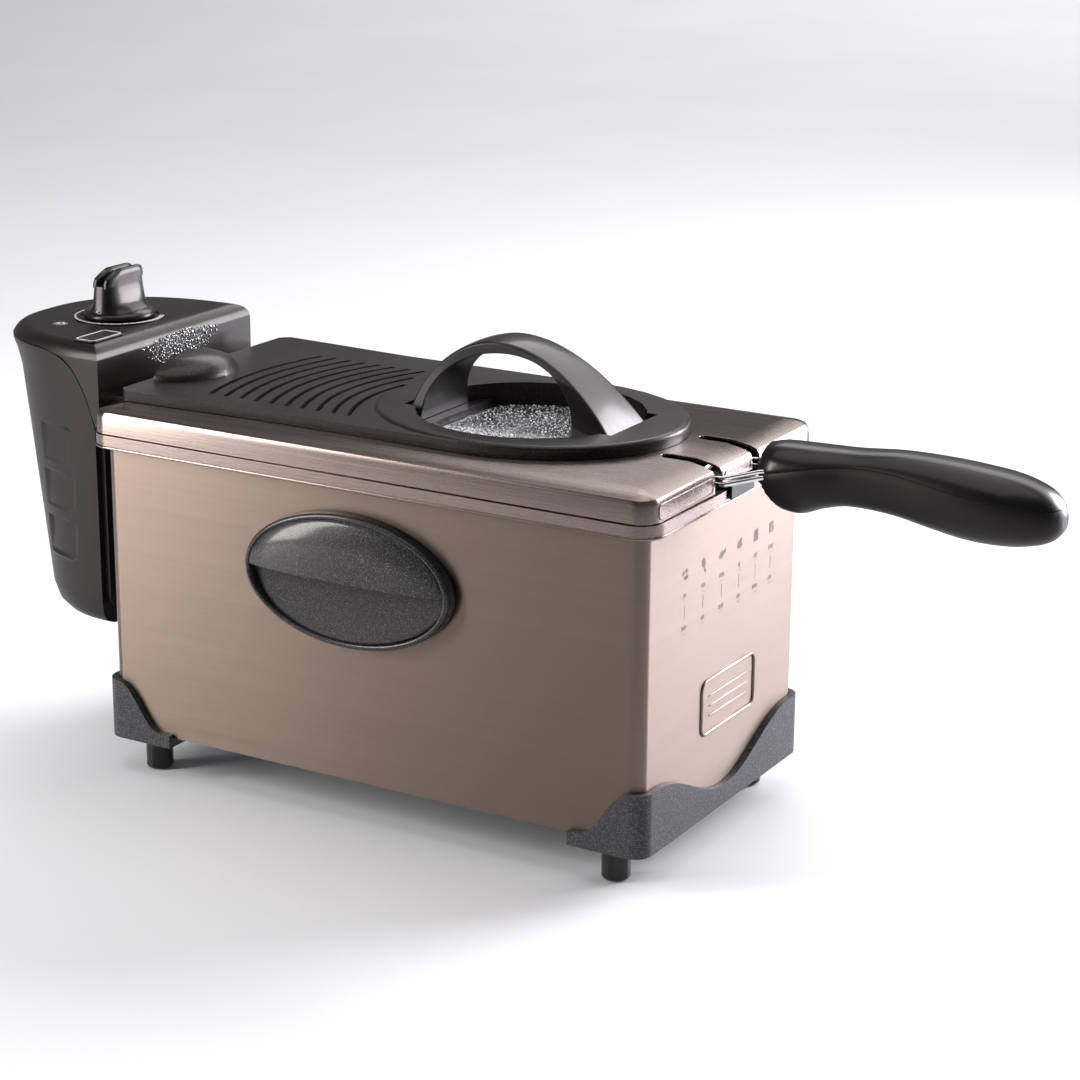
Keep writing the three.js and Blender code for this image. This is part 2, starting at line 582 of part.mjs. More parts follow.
function knobBody() {
  const { radius, skirt, finHeight, finHalf, finLength } = knob;
  const base = headTop + dial.thickness + 2 * GAP;
  const disc = turned([[0, base], [radius, base], [radius, base + 2], [radius - 1.5, base + 3.8],
    [radius - 5, base + skirt], [0, base + skirt]], knobX, 0, 28);
  const rings = [[0, 1.35, 1], [0.25, 1.02, 0.99], [0.6, 0.9, 0.96], [0.88, 0.82, 0.9], [1, 0.55, 0.78]];
  const fin = loft(rings.map(([h, w, l]) => levelRing(
    ellipse(0, 0, finHalf * w, (finLength / 2) * l), base + skirt - 1 + (finHeight + 1) * h, 6)
    .map((p) => p.set(knobX + p.x, p.y, p.z - Math.max(0, -p.y - 4) * 0.35 * h))));
  return cut(join(disc, fin), rod(shaft.radius + GAP, base - 1, base + shaft.rise, knobX, 0));
}

function cordGland() {
  const { radius, length, bore } = gland;
  const [x, y, top] = [undersideX, underside.y, headBottom + head.wall + 3];
  return cut(turned([[0, top - length], [radius - 2, top - length], [radius, headBottom - GAP - 2],
    [radius, headBottom - GAP], [radius - 2, headBottom - GAP], [radius - 2, top], [0, top]], x, y, 16),
  rod(bore, top - length - 1, top + 1, x, y, 16));
}

function resetButton() {
  const { radius, length, proud, flange } = button;
  const low = headBottom - proud;
  const seat = headBottom + head.wall + GAP;
  return turned([[0, low], [radius - 1, low], [radius, low + 1], [radius, seat], [radius + 2, seat],
    [radius + 2, seat + flange], [2, seat + flange], [2, low + length], [0, low + length]],
  undersideX, -underside.y, 20);
}

function topScrewSolid(side) {
  const { radius, y, depth, recess, recessHalf } = topScrew;
  const x = topScrewX;
  const top = headTop + 0.2;
  const body = turned([[0, top - depth], [screw.radius, top - depth], [screw.radius, top - 2],
    [radius, top - 1.6], [radius, top - 0.4], [radius - 1.4, top], [0, top]], x, side * y, 16);
  const arm = (a, b) => block([x - a, x + a], [side * y - b, side * y + b], [top - 1.2, top + 1]);
  return cut(body, arm(recess, recessHalf), arm(recessHalf, recess));
}

piece('head_cover', headCover(), blackPlastic);
piece('head_shell', headShell(), greyPlastic);
piece('head_plate', headPlate(), greyPlastic);
piece('head_tongue', headTongue(), plainSteel);
piece('element_carrier', elementCarrier(), plainSteel);
piece('heating_element', heatingElement(), plainSteel);
piece('element_strap_left', elementStrap(strap.left), plainSteel);
piece('element_strap_right', elementStrap(strap.right), plainSteel);
piece('sensor_tube', sensorTube(), chrome);
piece('thermostat', thermostat(), ceramic);
const cutoutBottom = headBottom + cutout.rise;
piece('thermal_cutout', rod(cutout.radius, cutoutBottom, cutoutBottom + cutout.thickness,
  headFront - cutout.fromFront, cutout.y, 16), chrome);
piece('terminal_block', terminalBlock(), ceramic);
piece('safety_switch', safetySwitch(), blackPlastic);
piece('cord_gland', cordGland(), rubber);
piece('top_screw_front', topScrewSolid(-1), chrome);
piece('top_screw_back', topScrewSolid(1), chrome);
const printLevel = headTop + GAP / 3;
piece('badge_plate', upright(roundedRect(badge.width, badge.length, 2, headFront - badge.fromFront, badge.y),
  printLevel, printLevel + badge.thickness, 3), whitePrint);
piece('dial_ring', cut(rod(dial.outer, printLevel, printLevel + dial.thickness, knobX, 0, 32),
  rod(dial.inner, headTop - 1, headTop + 3, knobX, 0, 32)), whitePrint);
piece('temperature_knob', knobBody(), glossPlastic);
piece('knob_shaft', rod(shaft.radius, headTop + shaft.rise - shaft.length, headTop + shaft.rise, knobX, 0),
  plainSteel);
piece('reset_button', resetButton(), rubber);

// ---------------------------------------------------------------- basket
const basketX = (basket.left + basket.right) / 2;
const basketLength = basket.right - basket.left;

function basketTray() {
  const { wall, corner, halfWidth } = basket;
  const tray = (thin, from, top) => steppedBox(basketLength - 2 * thin, 2 * (halfWidth - thin), corner - thin,
    [[from, -8], [from + 8, -3], [top, 0]], 3, basketX);
  return cut(tray(0, basketBottom, basketTop), tray(wall, basketBottom + wall, basketTop + 1));
}

function basketRim() {
  const { bar, halfWidth, corner } = basket;
  const ring = (grow) => roundedRect(basketLength + 2 * grow, 2 * (halfWidth + grow), corner + grow, basketX);
  return cut(upright(ring(bar + GAP), basketTop - bar, basketTop, 4),
    upright(ring(GAP), basketTop - bar - 1, basketTop + 1, 4));
}

// Plate on the end of the basket with two ears for the handle's pivot and a hook over the rim.
function handleBracket() {
  const { x, ear, earHalf, rod: rodRadius } = pivot;
  const back = basket.right + basket.bar + 2 * GAP;
  const half = earHalf + ear;
  const plate = block([back, back + ear], [-half, half], [basketTop - 8, potTop - 1]);
  const ears = [-1, 1].map((s) => {
    const [y0, y1] = [s * earHalf, s * half].sort((a, b) => a - b);
    return block([back, x + 4], [y0, y1], [potTop - 4, pivotZ + 4]);
  });
  const holes = across(ellipse(x, pivotZ, rodRadius + 0.25, rodRadius + 0.25), -half - 1, half + 1, 5);
  return cut(join(plate, ...ears), holes);
}

function rimHook() {
  const { ear, earHalf } = pivot;
  const back = basket.right + basket.bar + 3 * GAP + ear;
  const half = earHalf / 2;
  const out = endX + pot.overhang;
  return join(
    block([back, back + ear], [-half, half], [potTop - 8, potTop + GAP + ear]),
    block([back, out + GAP + ear], [-half, half], [potTop + GAP, potTop + GAP + ear]),
    block([out + GAP, out + GAP + ear], [-half, half], [potTop - 5, potTop + GAP + ear]));
}

piece('basket_tray', basketTray(), chrome);
piece('basket_rim', basketRim(), chrome);
piece('handle_bracket', handleBracket(), chrome);
piece('rim_hook', rimHook(), blackPlastic);

// ---------------------------------------------------------------- folding basket handle
function wireRoute(side, lift) {
  const { half, gripHalf, reach, bend } = wire;
  const z = pivotZ + lift;
  return bentRoute([[pivot.x + (lift > 0 ? 5 : 0), side * half, z], [endX + 8, side * half, z + 0.4],
    [grip.start + 2, side * (gripHalf + 3), z + 5.5], [grip.start + reach, side * gripHalf, z + 8]], bend, 3);
}

function pivotWire() {
  const half = pivot.earHalf + pivot.end;
  const pin = across(ellipse(pivot.x, pivotZ, pivot.rod, pivot.rod), -half, half, 5);
  return join(pin, ...[-1, 1].map((s) => tube(wireRoute(s, 0), wire.radius)));
}

// Rings of the grip: [share of its length, centre above the pivot, half height, half width].
const gripRings = [[0, 5.4, 15, 15], [0.04, 5.2, 16.5, 18], [0.13, 4.6, 17.6, 19.5], [0.21, 7, 15.6, 18.5],
  [0.3, 8.8, 14.4, 17.2], [0.45, 9.4, 15.8, 18], [0.59, 7.6, 17.6, 20], [0.71, 5.8, 18.4, 21.2],
  [0.83, 4.8, 17.4, 20.5], [0.92, 4, 14.4, 17], [0.97, 3.2, 10.4, 12.5], [0.994, 2.6, 5.5, 7],
  [1, 2.4, 2.4, 3]];
const gripX = (share) => grip.start + share * grip.length;

function gripForm(inset, from, to) {
  const rings = gripRings.filter(([share]) => share >= from && share <= to);
  return loft(rings.map(([share, rise, high, wide]) => Array.from({ length: 18 }, (_, i) => {
    const angle = (2 * Math.PI * i) / 18;
    const round = (value) => Math.sign(value) * Math.abs(value) ** 0.85;
    return new THREE.Vector3(gripX(share), (wide - inset) * round(Math.cos(angle)),
      pivotZ + rise + (high - inset) * round(Math.sin(angle)));
  })));
}

// Ground under the parting line, in side view, which runs above the grip's middle.
function gripGround(drop) {
  const line = [[0, 7], [0.2, 14.4], [0.35, 17.4], [0.48, 17.2], [0.66, 13.6], [0.82, 11], [0.92, 9.6],
    [1, 9]];
  const points = new THREE.SplineCurve(line.map(([share, rise]) =>
    new THREE.Vector2(gripX(share), pivotZ + rise - drop))).getPoints(14).map((p) => [p.x, p.y]);
  return across(outline([...points, [gripX(1) + 5, points.at(-1)[1]], [gripX(1) + 5, pivotZ - 60],
    [gripX(0) - 5, pivotZ - 60], [gripX(0) - 5, points[0][1]]]), -60, 60);
}

// The front of the grip is cut back along a slant, further at the bottom than at the top.
const gripSlant = across(outline([[gripX(0) - 9, pivotZ + 60], [gripX(0) - 9, pivotZ - 60],
  [gripX(0) + 29, pivotZ - 34], [gripX(0) + 1, pivotZ + 3], [gripX(0) + 1, pivotZ + 60]]), -60, 60);
const wireChannels = join(...[-1, 1].flatMap((s) => [tube(wireRoute(s, 0), wire.radius + GAP),
  tube(wireRoute(s, wire.lift), wire.upper + GAP)]));
const gripScrewX = gripX(grip.screwAt);
const gripScrewHole = rod(screw.radius + GAP, pivotZ - 40, pivotZ + 22, gripScrewX, 0, 12);
const gripScrewSeat = rod(screw.head + GAP, pivotZ - 40, pivotZ - 2, gripScrewX, 0, 16);
const gripHollow = gripForm(grip.wall, 0.3, 0.94);

piece('pivot_wire', pivotWire(), chrome);
for (const [side, s] of [['front', -1], ['back', 1]]) {
  piece(`upper_wire_${side}`, tube(wireRoute(s, wire.lift), wire.upper), chrome);
}
piece('grip_upper', cut(gripForm(0, 0, 1), gripGround(0), gripSlant, wireChannels, gripHollow), glossPlastic);
piece('grip_lower', cut(join(cut(gripForm(0, 0, 1).intersect(gripGround(GAP)), gripHollow),
  rod(screw.head + 2.4, pivotZ - 5.5, pivotZ + 16, gripScrewX, 0, 16)), gripSlant, wireChannels,
gripScrewHole, gripScrewSeat), blackPlastic);
piece('grip_screw', turned([[0, pivotZ - 4], [screw.head, pivotZ - 4], [screw.head, pivotZ - 2 - GAP],
  [screw.radius, pivotZ - 2 - GAP], [screw.radius, pivotZ + 15], [0, pivotZ + 15]], gripScrewX, 0, 12),
plainSteel);

// ---------------------------------------------------------------- lid
const ovalHole = (grow) => ellipse(ovalX, 0, oval.holeHalfLength + grow, oval.holeHalfWidth + grow);
const bowlSlab = (shrink) => block([oval.windowFrom + shrink, oval.windowTo - shrink],
  [-sideY, sideY], [lidBottom - 20, ringTop + 20]);
const filterBox = (shrink, from, to) => block(
  [filter.x - filter.length / 2 + shrink, filter.x + filter.length / 2 - shrink],
  [-filter.width / 2 + shrink, filter.width / 2 - shrink], [from, to]);

const steamPassage = (grow, from, to) => block(
  [-endX + hump.openingFrom - grow, -endX + hump.openingTo + grow],
  [hump.y - hump.openingHalf - grow, hump.y + hump.openingHalf + grow], [from, to]);

function lidShell() {
  const { overhang, skirt, edge, crown, shoulder, sheet, corner } = lid;
  const steps = [[0, 0], [skirt, -0.3], [skirt + edge * 0.65, -1.8], [skirt + edge, -4.8],
    [skirt + edge + crown, -overhang - shoulder]];
  const form = (thin) => steppedBox(housing.length + 2 * overhang, housing.width + 2 * overhang, corner,
    steps.map(([rise, outset]) => [lidBottom + rise - thin, outset - thin]), 5);
  const slots = [-1, 1].map((s) => {
    const [y, inner] = [s * slot.spacing / 2, endX + overhang - slot.length];
    const half = slot.width / 2;
    return join(block([inner + half, endX + overhang + 2], [y - half, y + half], [lidBottom - 2, ringTop]),
      rod(half, lidBottom - 2, ringTop, inner + half, y, 12));
  });
  const hookNotch = block([endX - 3, endX + overhang + 2], [-slot.hookWidth / 2, slot.hookWidth / 2],
    [lidBottom - 2, lidBottom + slot.hookHeight]);
  const half = carrier.halfWidth + 2;
  const bridgeNotch = block([-endX - overhang - 2, -endX + 6], [-half, half],
    [lidBottom - 2, tubeLevel + element.radius + 0.8]);
  const window = upright(ovalHole(oval.wall + RUN), lidBottom, ringTop, 12);
  const steam = steamPassage(1, lidTop - 3, ringTop);
  return cut(form(0), form(sheet), ...slots, hookNotch, bridgeNotch, window, steam,
    filterBox(2, lidBottom, ringTop), ...coverScrewHoles(screw.radius + GAP));
}

const coverLeft = -(endX - cover.endInset);
const coverScrews = [[coverLeft + 12, cover.halfWidth - 14.5], [ovalX - 64, cover.halfWidth - 8.5]]
  .flatMap(([x, y]) => [[x, -y], [x, y]]);
function coverScrewHoles(radius) {
  return coverScrews.map(([x, y]) => rod(radius, lidTop - 4, coverTop - 1.4, x, y, 10));
}

// Black cover: a plate that flares towards the head, joined to an oval ring round the window.
function lidCover() {
  const { halfWidth, flare, flareLength, corner } = cover;
  const wide = halfWidth + flare;
  const side = [[ovalX, halfWidth], [coverLeft + flareLength, halfWidth], [coverLeft + flareLength * 0.45,
    halfWidth + flare * 0.6], [coverLeft + corner, wide], [coverLeft, wide - corner]];
  const plate = outline([...side, ...side.map(([x, y]) => [x, -y]).reverse()]);
  const bowl = upright(ovalHole(oval.wall), bowlBottom, coverTop, 12).intersect(block(
    [ovalX - oval.halfLength, ovalX + oval.halfLength], [-sideY, sideY], [bowlBottom, coverTop]));
  const humpForm = (thin) => toSolid(new THREE.SphereGeometry(1, 20, 10)).scale(
    [hump.length - thin, hump.halfWidth - thin, hump.height - thin]).translate(
    [coverLeft + hump.fromEnd, hump.y, coverTop]);
  const humpKeep = block([coverLeft + hump.fromEnd, 0], [-sideY, sideY], [coverTop - 1, ringTop + 40]);
  const edge = [[coverBottom, 0], [ringTop - 2, 0], [ringTop - 1, 0.5], [ringTop - 0.3, 1.4], [ringTop, 2.8]];
  const ring = loft(edge.map(([z, less]) =>
    levelRing(ellipse(ovalX, 0, oval.halfLength - less, halfWidth - less), z, 16)));
  const body = join(upright(plate, coverBottom, coverTop), ring, bowl, humpForm(0).intersect(humpKeep));
  const ledge = upright(ovalHole(0), ledgeTop, ringTop + 1, 12);
  const well = upright(ovalHole(0), bowlBottom + oval.floor, ringTop + 1, 12).intersect(bowlSlab(0));
  const opening = upright(ovalHole(-oval.seat), bowlBottom - 1, ringTop, 12).intersect(bowlSlab(oval.seat));
  const pocketHalf = arch.footHalf + arch.pocket;
  const feet = [[-arch.left - arch.pocket, -arch.innerLeft], [arch.innerRight, arch.right + arch.pocket]].map(
    ([from, to]) => block([ovalX + from, ovalX + to], [-pocketHalf, pocketHalf], [ledgeTop, ringTop + 1]));
  const steam = join(humpForm(hump.wall).intersect(block([coverLeft - 1, 0], [-sideY, sideY],
    [coverTop - 0.01, ringTop + 40])), steamPassage(0, coverBottom - 1, coverTop + 1));
  return cut(body, ledge, well, opening, ...feet, steam, filterBox(0, coverBottom - 1, coverTop - cover.top),
    ...ventSlots(), ...coverScrewHoles(screw.radius), ...archScrewHoles(screw.radius + GAP, ledgeTop + 1));
}

// Curved steam slots beside the window ring, each bowed a little more than the last.
function ventSlots() {
  const { count, first, pitch, width, from, to, sag, sagGrowth, shortening } = vent;
  const slots = [];
  for (let i = 0; i < count; i += 1) {
    const x = first + i * pitch;
    const bow = sag + i * sagGrowth;
    const end = i < count - 2 ? to : to - (i - count + 3) * shortening;
    const line = Array.from({ length: 9 }, (_, k) => {
      const y = from + ((end - from) * k) / 8;
      const share = (2 * (y - from)) / (to - from) - 1;
      return [x - bow * (1 - share * share), y];
    });
    slots.push(upright(outline([...line.map(([a, y]) => [a + width / 2, y]),
      ...line.map(([a, y]) => [a - width / 2, y]).reverse()]), coverTop - cover.top - 0.5, ringTop + 1));
  }
  return slots;
}

function archScrewHoles(radius, top) {
  return archFeet.map((x) => rod(radius, bowlBottom - 5, top, x, 0, 10));
}

const archFeet = [ovalX - (arch.left + arch.innerLeft) / 2, ovalX + (arch.right + arch.innerRight) / 2 - 2];

// Handle: a broad curved bridge over the window, steep on its left and sloping on its right.
function lidHandle() {
  const base = ledgeTop + GAP;
  const rings = Array.from({ length: 23 }, (_, i) => {
    const angle = (Math.PI * i) / 22;
    const [c, s] = [-Math.cos(angle), Math.sin(angle)];
    const side = (left, peak, right) => ovalX + peak + c * (c < 0 ? peak + left : right - peak);
    const outerRise = arch.height * (1 - c * c) ** (c < 0 ? 0.6 : 0.95);
    const innerRise = arch.innerHeight * (1 - c * c) ** 0.42;
    const outer = new THREE.Vector2(side(arch.left, arch.peak, arch.right), base + outerRise);
    const inner = new THREE.Vector2(side(arch.innerLeft, arch.innerPeak, arch.innerRight), base + innerRise);
    const half = arch.topHalf + (arch.footHalf - arch.topHalf) * (1 - s) ** 1.1;
    const ring = [[0, -0.82], [0.12, -1], [0.8, -1], [0.96, -0.8], [1.03, 0], [0.96, 0.8], [0.8, 1],
      [0.12, 1], [0, 0.82]];
    return ring.map(([out, wide]) => {
      const p = inner.clone().lerp(outer, out);
      return new THREE.Vector3(p.x, wide * half, Math.max(p.y, base));
    });
  });
  return cut(loft(rings), ...archScrewHoles(screw.radius, base + arch.screwDepth));
}

function windowPane(shrink, from, to) {
  return upright(ovalHole(-shrink), from, to, 12).intersect(bowlSlab(shrink));
}

const seatTop = bowlBottom + oval.floor;
piece('lid_shell', lidShell(), champagneSteel);
piece('lid_cover', lidCover(), blackPlastic);
piece('lid_handle', lidHandle(), glossPlastic);
piece('window_gasket', cut(windowPane(glass.clearance, seatTop + GAP, seatTop + GAP + glass.gasket),
  windowPane(oval.seat - 1, seatTop, seatTop + 5)), rubber);
piece('window_glass', windowPane(glass.clearance, seatTop + 2 * GAP + glass.gasket,
  seatTop + 2 * GAP + glass.gasket + glass.thickness), clearGlass);
piece('steam_filter', filterBox(RUN, coverBottom + GAP / 3, coverBottom + GAP / 3 + filter.thickness),
  filterFelt);
// Screw driven up from below, its head's top at the given height.
function upwardScrew(x, y, under, tip) {
  const { radius, head: headRadius, headHeight } = screw;
  const low = under - headHeight;
  const stem = radius - GAP;
  return turned([[0, low], [headRadius, low], [headRadius, under], [stem, under], [stem, tip], [0, tip]],
    x, y, 10);
}

coverScrews.forEach(([x, y], i) => {
  piece(`cover_screw_${i + 1}`, upwardScrew(x, y, lidTop - lid.sheet - GAP, coverTop - 1.8), plainSteel);
});
archFeet.forEach((x, i) => {
  const tip = ledgeTop + arch.screwDepth - 1;
  piece(`handle_screw_${i + 1}`, upwardScrew(x, 0, bowlBottom - GAP, tip), plainSteel);
});

export default assembly;
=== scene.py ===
"""Looks of the deep fryer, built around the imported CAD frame. Blender 4.5, metres."""
import math
import random

import bmesh
import bpy
from mathutils import Matrix, Vector


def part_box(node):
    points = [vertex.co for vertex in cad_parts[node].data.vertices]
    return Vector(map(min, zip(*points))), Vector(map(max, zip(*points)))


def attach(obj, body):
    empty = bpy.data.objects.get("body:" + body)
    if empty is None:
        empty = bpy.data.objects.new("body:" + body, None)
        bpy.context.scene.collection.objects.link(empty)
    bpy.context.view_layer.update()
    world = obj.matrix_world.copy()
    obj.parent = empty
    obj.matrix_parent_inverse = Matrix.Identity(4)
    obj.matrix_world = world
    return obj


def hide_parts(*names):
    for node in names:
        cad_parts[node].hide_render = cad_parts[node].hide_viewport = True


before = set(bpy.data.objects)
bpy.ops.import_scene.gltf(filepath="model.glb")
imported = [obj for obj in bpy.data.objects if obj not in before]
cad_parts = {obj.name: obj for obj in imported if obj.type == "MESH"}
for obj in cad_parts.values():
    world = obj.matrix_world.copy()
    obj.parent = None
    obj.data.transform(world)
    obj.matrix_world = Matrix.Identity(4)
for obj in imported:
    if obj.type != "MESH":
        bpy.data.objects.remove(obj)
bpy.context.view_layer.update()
rng = random.Random(7)

# ------------------------------------------------------------------ places, from the frame
shell_low, shell_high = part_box("housing_shell")
MID_X = (shell_low.x + shell_high.x) / 2


def at(x, y, z):
    """A point given in millimetres from the middle of the housing, in the row frame."""
    return Vector((MID_X + x / 1000, y / 1000, z / 1000))


# ------------------------------------------------------------------ material nodes
class Mat:
    """A material made of procedural nodes on one Principled shader."""

    def __init__(self, name):
        self.mat = bpy.data.materials.new(name)
        self.mat.use_nodes = True
        self.tree = self.mat.node_tree
        self.bsdf = self.tree.nodes["Principled BSDF"]
        self.coord = self.tree.nodes.new("ShaderNodeTexCoord").outputs["Object"]

    def add(self, kind, **inputs):
        node = self.tree.nodes.new(kind)
        for key, value in inputs.items():
            self.put(node.inputs[key.replace("_", " ")], value)
        return node

    def put(self, socket, value):
        if isinstance(value, bpy.types.NodeSocket):
            self.tree.links.new(value, socket)
        else:
            socket.default_value = value

    def set(self, **inputs):
        for key, value in inputs.items():
            self.put(self.bsdf.inputs[key.replace("_", " ")], value)
        return self

    def stretch(self, x, y, z):
        return self.add("ShaderNodeMapping", Vector=self.coord, Scale=(x, y, z)).outputs[0]

    def noise(self, vector=None, scale=100.0, detail=2.0, rough=0.5):
        node = self.add("ShaderNodeTexNoise", Scale=scale, Detail=detail, Roughness=rough)
        self.put(node.inputs["Vector"], vector or self.coord)
        return node.outputs["Fac"]

    def ramp(self, fac, *stops):
        node = self.add("ShaderNodeValToRGB", Fac=fac)
        marks = node.color_ramp.elements
        while len(marks) < len(stops):
            marks.new(0.5)
        for mark, (place, colour) in zip(marks, stops):
            mark.position = place
            mark.color = (*colour, 1) if len(colour) == 3 else colour
        return node.outputs["Color"]

    def level(self, fac, low, high, start=0.0, end=1.0):
        node = self.add("ShaderNodeMapRange")
        for key, value in (("Value", fac), ("From Min", start), ("From Max", end),
                           ("To Min", low), ("To Max", high)):
            self.put(node.inputs[key], value)
        return node.outputs[0]

    def maths(self, operation, a, b=0.0):
        node = self.tree.nodes.new("ShaderNodeMath")
        node.operation = operation
        self.put(node.inputs[0], a)
        self.put(node.inputs[1], b)
        return node.outputs[0]

    def mix(self, fac, a, b):
        node = self.tree.nodes.new("ShaderNodeMix")
        node.data_type = "RGBA"
        for index, value in ((0, fac), (6, a), (7, b)):
            if isinstance(value, tuple):
                value = (*value, 1) if len(value) == 3 else value
            self.put(node.inputs[index], value)
        return node.outputs[2]

    def bump(self, height, distance, strength):
        node = self.add("ShaderNodeBump", Height=height, Distance=distance, Strength=strength)
        return node.outputs["Normal"]

    def axis(self, index):
        return self.add("ShaderNodeSeparateXYZ", Vector=self.coord).outputs[index]


def brushed(name, light, dark, roughness, lie):
    """Brushed steel: fine streaks that run along the directions with a small number in lie."""
    m = Mat(name)
    fine = m.noise(m.stretch(*lie), 1.0, 3.0, 0.62)
    broad = m.noise(m.stretch(*(n / 9 for n in lie)), 1.0, 2.0)
    cloud = m.noise(None, 9.0, 3.0)
    tone = m.maths("ADD", m.maths("MULTIPLY", fine, 0.55), m.maths("MULTIPLY", broad, 0.45))
    colour = m.ramp(tone, (0.25, dark), (0.75, light))
    colour = m.mix(m.level(cloud, 0.0, 0.28, 0.35, 0.75), colour, dark)
    around = m.add("ShaderNodeTangent")
    around.direction_type, around.axis = "RADIAL", "Z"
    m.set(Base_Color=colour, Metallic=1.0, Anisotropic=0.8, Anisotropic_Rotation=0.25,
          Tangent=around.outputs[0])
    uneven = m.maths("ADD", fine, m.maths("MULTIPLY", cloud, 0.5))
    m.set(Roughness=m.level(uneven, roughness - 0.06, roughness + 0.08, 0.4, 1.1))
    m.set(Normal=m.bump(fine, 0.00002, 0.22))
    return m.mat


def moulded(name, light, dark, roughness, grain=900.0, depth=0.00005, coat=0.0, sparkle=None, specular=0.22):
    """Moulded plastic with an eroded grain, a slow change of tone and, if asked for, metal flakes."""
    m = Mat(name)
    grainy = m.noise(None, grain, 3.0, 0.6)
    slow = m.noise(None, 22.0, 4.0, 0.6)
    tone = m.maths("ADD", m.maths("MULTIPLY", grainy, 0.5), m.maths("MULTIPLY", slow, 0.5))
    colour = m.ramp(tone, (0.3, dark), (0.72, light))
    if sparkle:
        flake = m.add("ShaderNodeTexVoronoi", Scale=sparkle[0], Vector=m.coord).outputs["Color"]
        pick = m.level(m.add("ShaderNodeSeparateColor", Color=flake).outputs[0], 0.0, 1.0, sparkle[1], 1.0)
        colour = m.mix(m.maths("MULTIPLY", pick, sparkle[2]), colour, (0.42, 0.42, 0.45))
    m.set(Base_Color=colour, Specular_IOR_Level=specular, Specular_Tint=(1.0, 0.88, 0.85, 1),
          Coat_Weight=coat, Coat_Roughness=0.12)
    uneven = m.maths("ADD", slow, m.maths("MULTIPLY", grainy, 0.6))
    m.set(Roughness=m.level(uneven, roughness - 0.07, roughness + 0.09, 0.5, 1.1))
    m.set(Normal=m.bump(grainy, depth, 0.6))
    return m.mat


def plated(name, colour, roughness):
    """Bright plated or polished metal with faint drawing lines and a slight waviness."""
    m = Mat(name)
    wave = m.noise(None, 60.0, 2.0)
    fine = m.noise(None, 1500.0, 2.0)
    m.set(Base_Color=m.ramp(wave, (0.3, tuple(c * 0.86 for c in colour)), (0.7, colour)), Metallic=1.0)
    m.set(Roughness=m.level(fine, roughness, roughness + 0.1, 0.3, 0.8), Normal=m.bump(wave, 0.0001, 0.25))
    return m.mat


M = {
    "housing": brushed("housing_steel", (0.178, 0.136, 0.112), (0.155, 0.118, 0.097), 0.34, (4, 4, 1800)),
    "lid": brushed("lid_steel", (0.225, 0.18, 0.163), (0.196, 0.155, 0.14), 0.27, (5, 1800, 1800)),
    "bright": brushed("inner_steel", (0.68, 0.67, 0.66), (0.55, 0.54, 0.53), 0.25, (8, 900, 900)),
    "chrome": plated("wire_chrome", (0.82, 0.81, 0.8), 0.08),
    "screw": plated("screw_steel", (0.62, 0.61, 0.6), 0.28),
    "element": plated("element_metal", (0.34, 0.31, 0.29), 0.32),
    "cover": moulded("cover_plastic", (0.0099, 0.0071, 0.0068), (0.0046, 0.0031, 0.0031), 0.34, 1300.0,
                     0.00003, 0.15, (4200.0, 0.93, 0.2)),
    "arch": moulded("arch_plastic", (0.0088, 0.008, 0.0084), (0.0044, 0.0038, 0.0042), 0.3, 1500.0, 0.00003,
                    0.2),
    "bracket": moulded("bracket_plastic", (0.0448, 0.0453, 0.0517), (0.0237, 0.0242, 0.0285), 0.42, 1200.0,
                       0.00006, 0.0, (3800.0, 0.80, 0.45)),
    "side": moulded("side_grip_plastic", (0.02, 0.02, 0.0215), (0.01, 0.01, 0.011), 0.3, 1500.0, 0.00005,
                    0.35, (4200.0, 0.86, 0.45)),
    "side_low": moulded("side_pocket_plastic", (0.03, 0.03, 0.0312), (0.018, 0.018, 0.0186), 0.5, 1500.0,
                        0.00006, 0.0, (4200.0, 0.86, 0.35)),
    "arch_face": moulded("arch_face_plastic", (0.0248, 0.0248, 0.0256), (0.0144, 0.0144, 0.0152), 0.42,
                         1500.0, 0.00006, 0.0),
    "foot": moulded("foot_rubber", (0.0072, 0.0072, 0.0078), (0.0036, 0.0036, 0.0036), 0.22, 500.0, 0.00002,
                    0.3),
    "head": moulded("head_plastic", (0.0177, 0.0162, 0.0165), (0.0102, 0.0094, 0.0097), 0.42, 1100.0,
                    0.00008),
    "head_top": moulded("head_top_plastic", (0.0099, 0.0076, 0.0076), (0.005, 0.0038, 0.0038), 0.36, 1200.0,
                        0.00006, 0.1),
    "knob": moulded("knob_plastic", (0.0101, 0.0088, 0.0088), (0.005, 0.0044, 0.0044), 0.3, 900.0, 0.00004,
                    0.2),
    "grip": moulded("grip_plastic", (0.0068, 0.0064, 0.0064), (0.0032, 0.0032, 0.0032), 0.32, 1300.0,
                    0.00004, 0.15),
    "grip_low": moulded("grip_lower_plastic", (0.0114, 0.0108, 0.0114), (0.006, 0.006, 0.006), 0.42, 1100.0,
                        0.00006),
    "inner": moulded("inner_plastic", (0.75, 0.72, 0.65), (0.62, 0.59, 0.52), 0.5, 700.0),
    "base": moulded("base_plastic", (0.03, 0.03, 0.03), (0.015, 0.015, 0.015), 0.5, 700.0, 0.0001),
    "gasket": moulded("gasket_rubber", (0.09, 0.09, 0.09), (0.05, 0.05, 0.05), 0.6, 800.0),
    "print": moulded("dial_print", (0.62, 0.62, 0.6), (0.42, 0.42, 0.41), 0.5, 900.0),
    "reset": moulded("reset_plastic", (0.35, 0.03, 0.02), (0.22, 0.02, 0.015), 0.3, 700.0, 0.00003, 0.2),
}

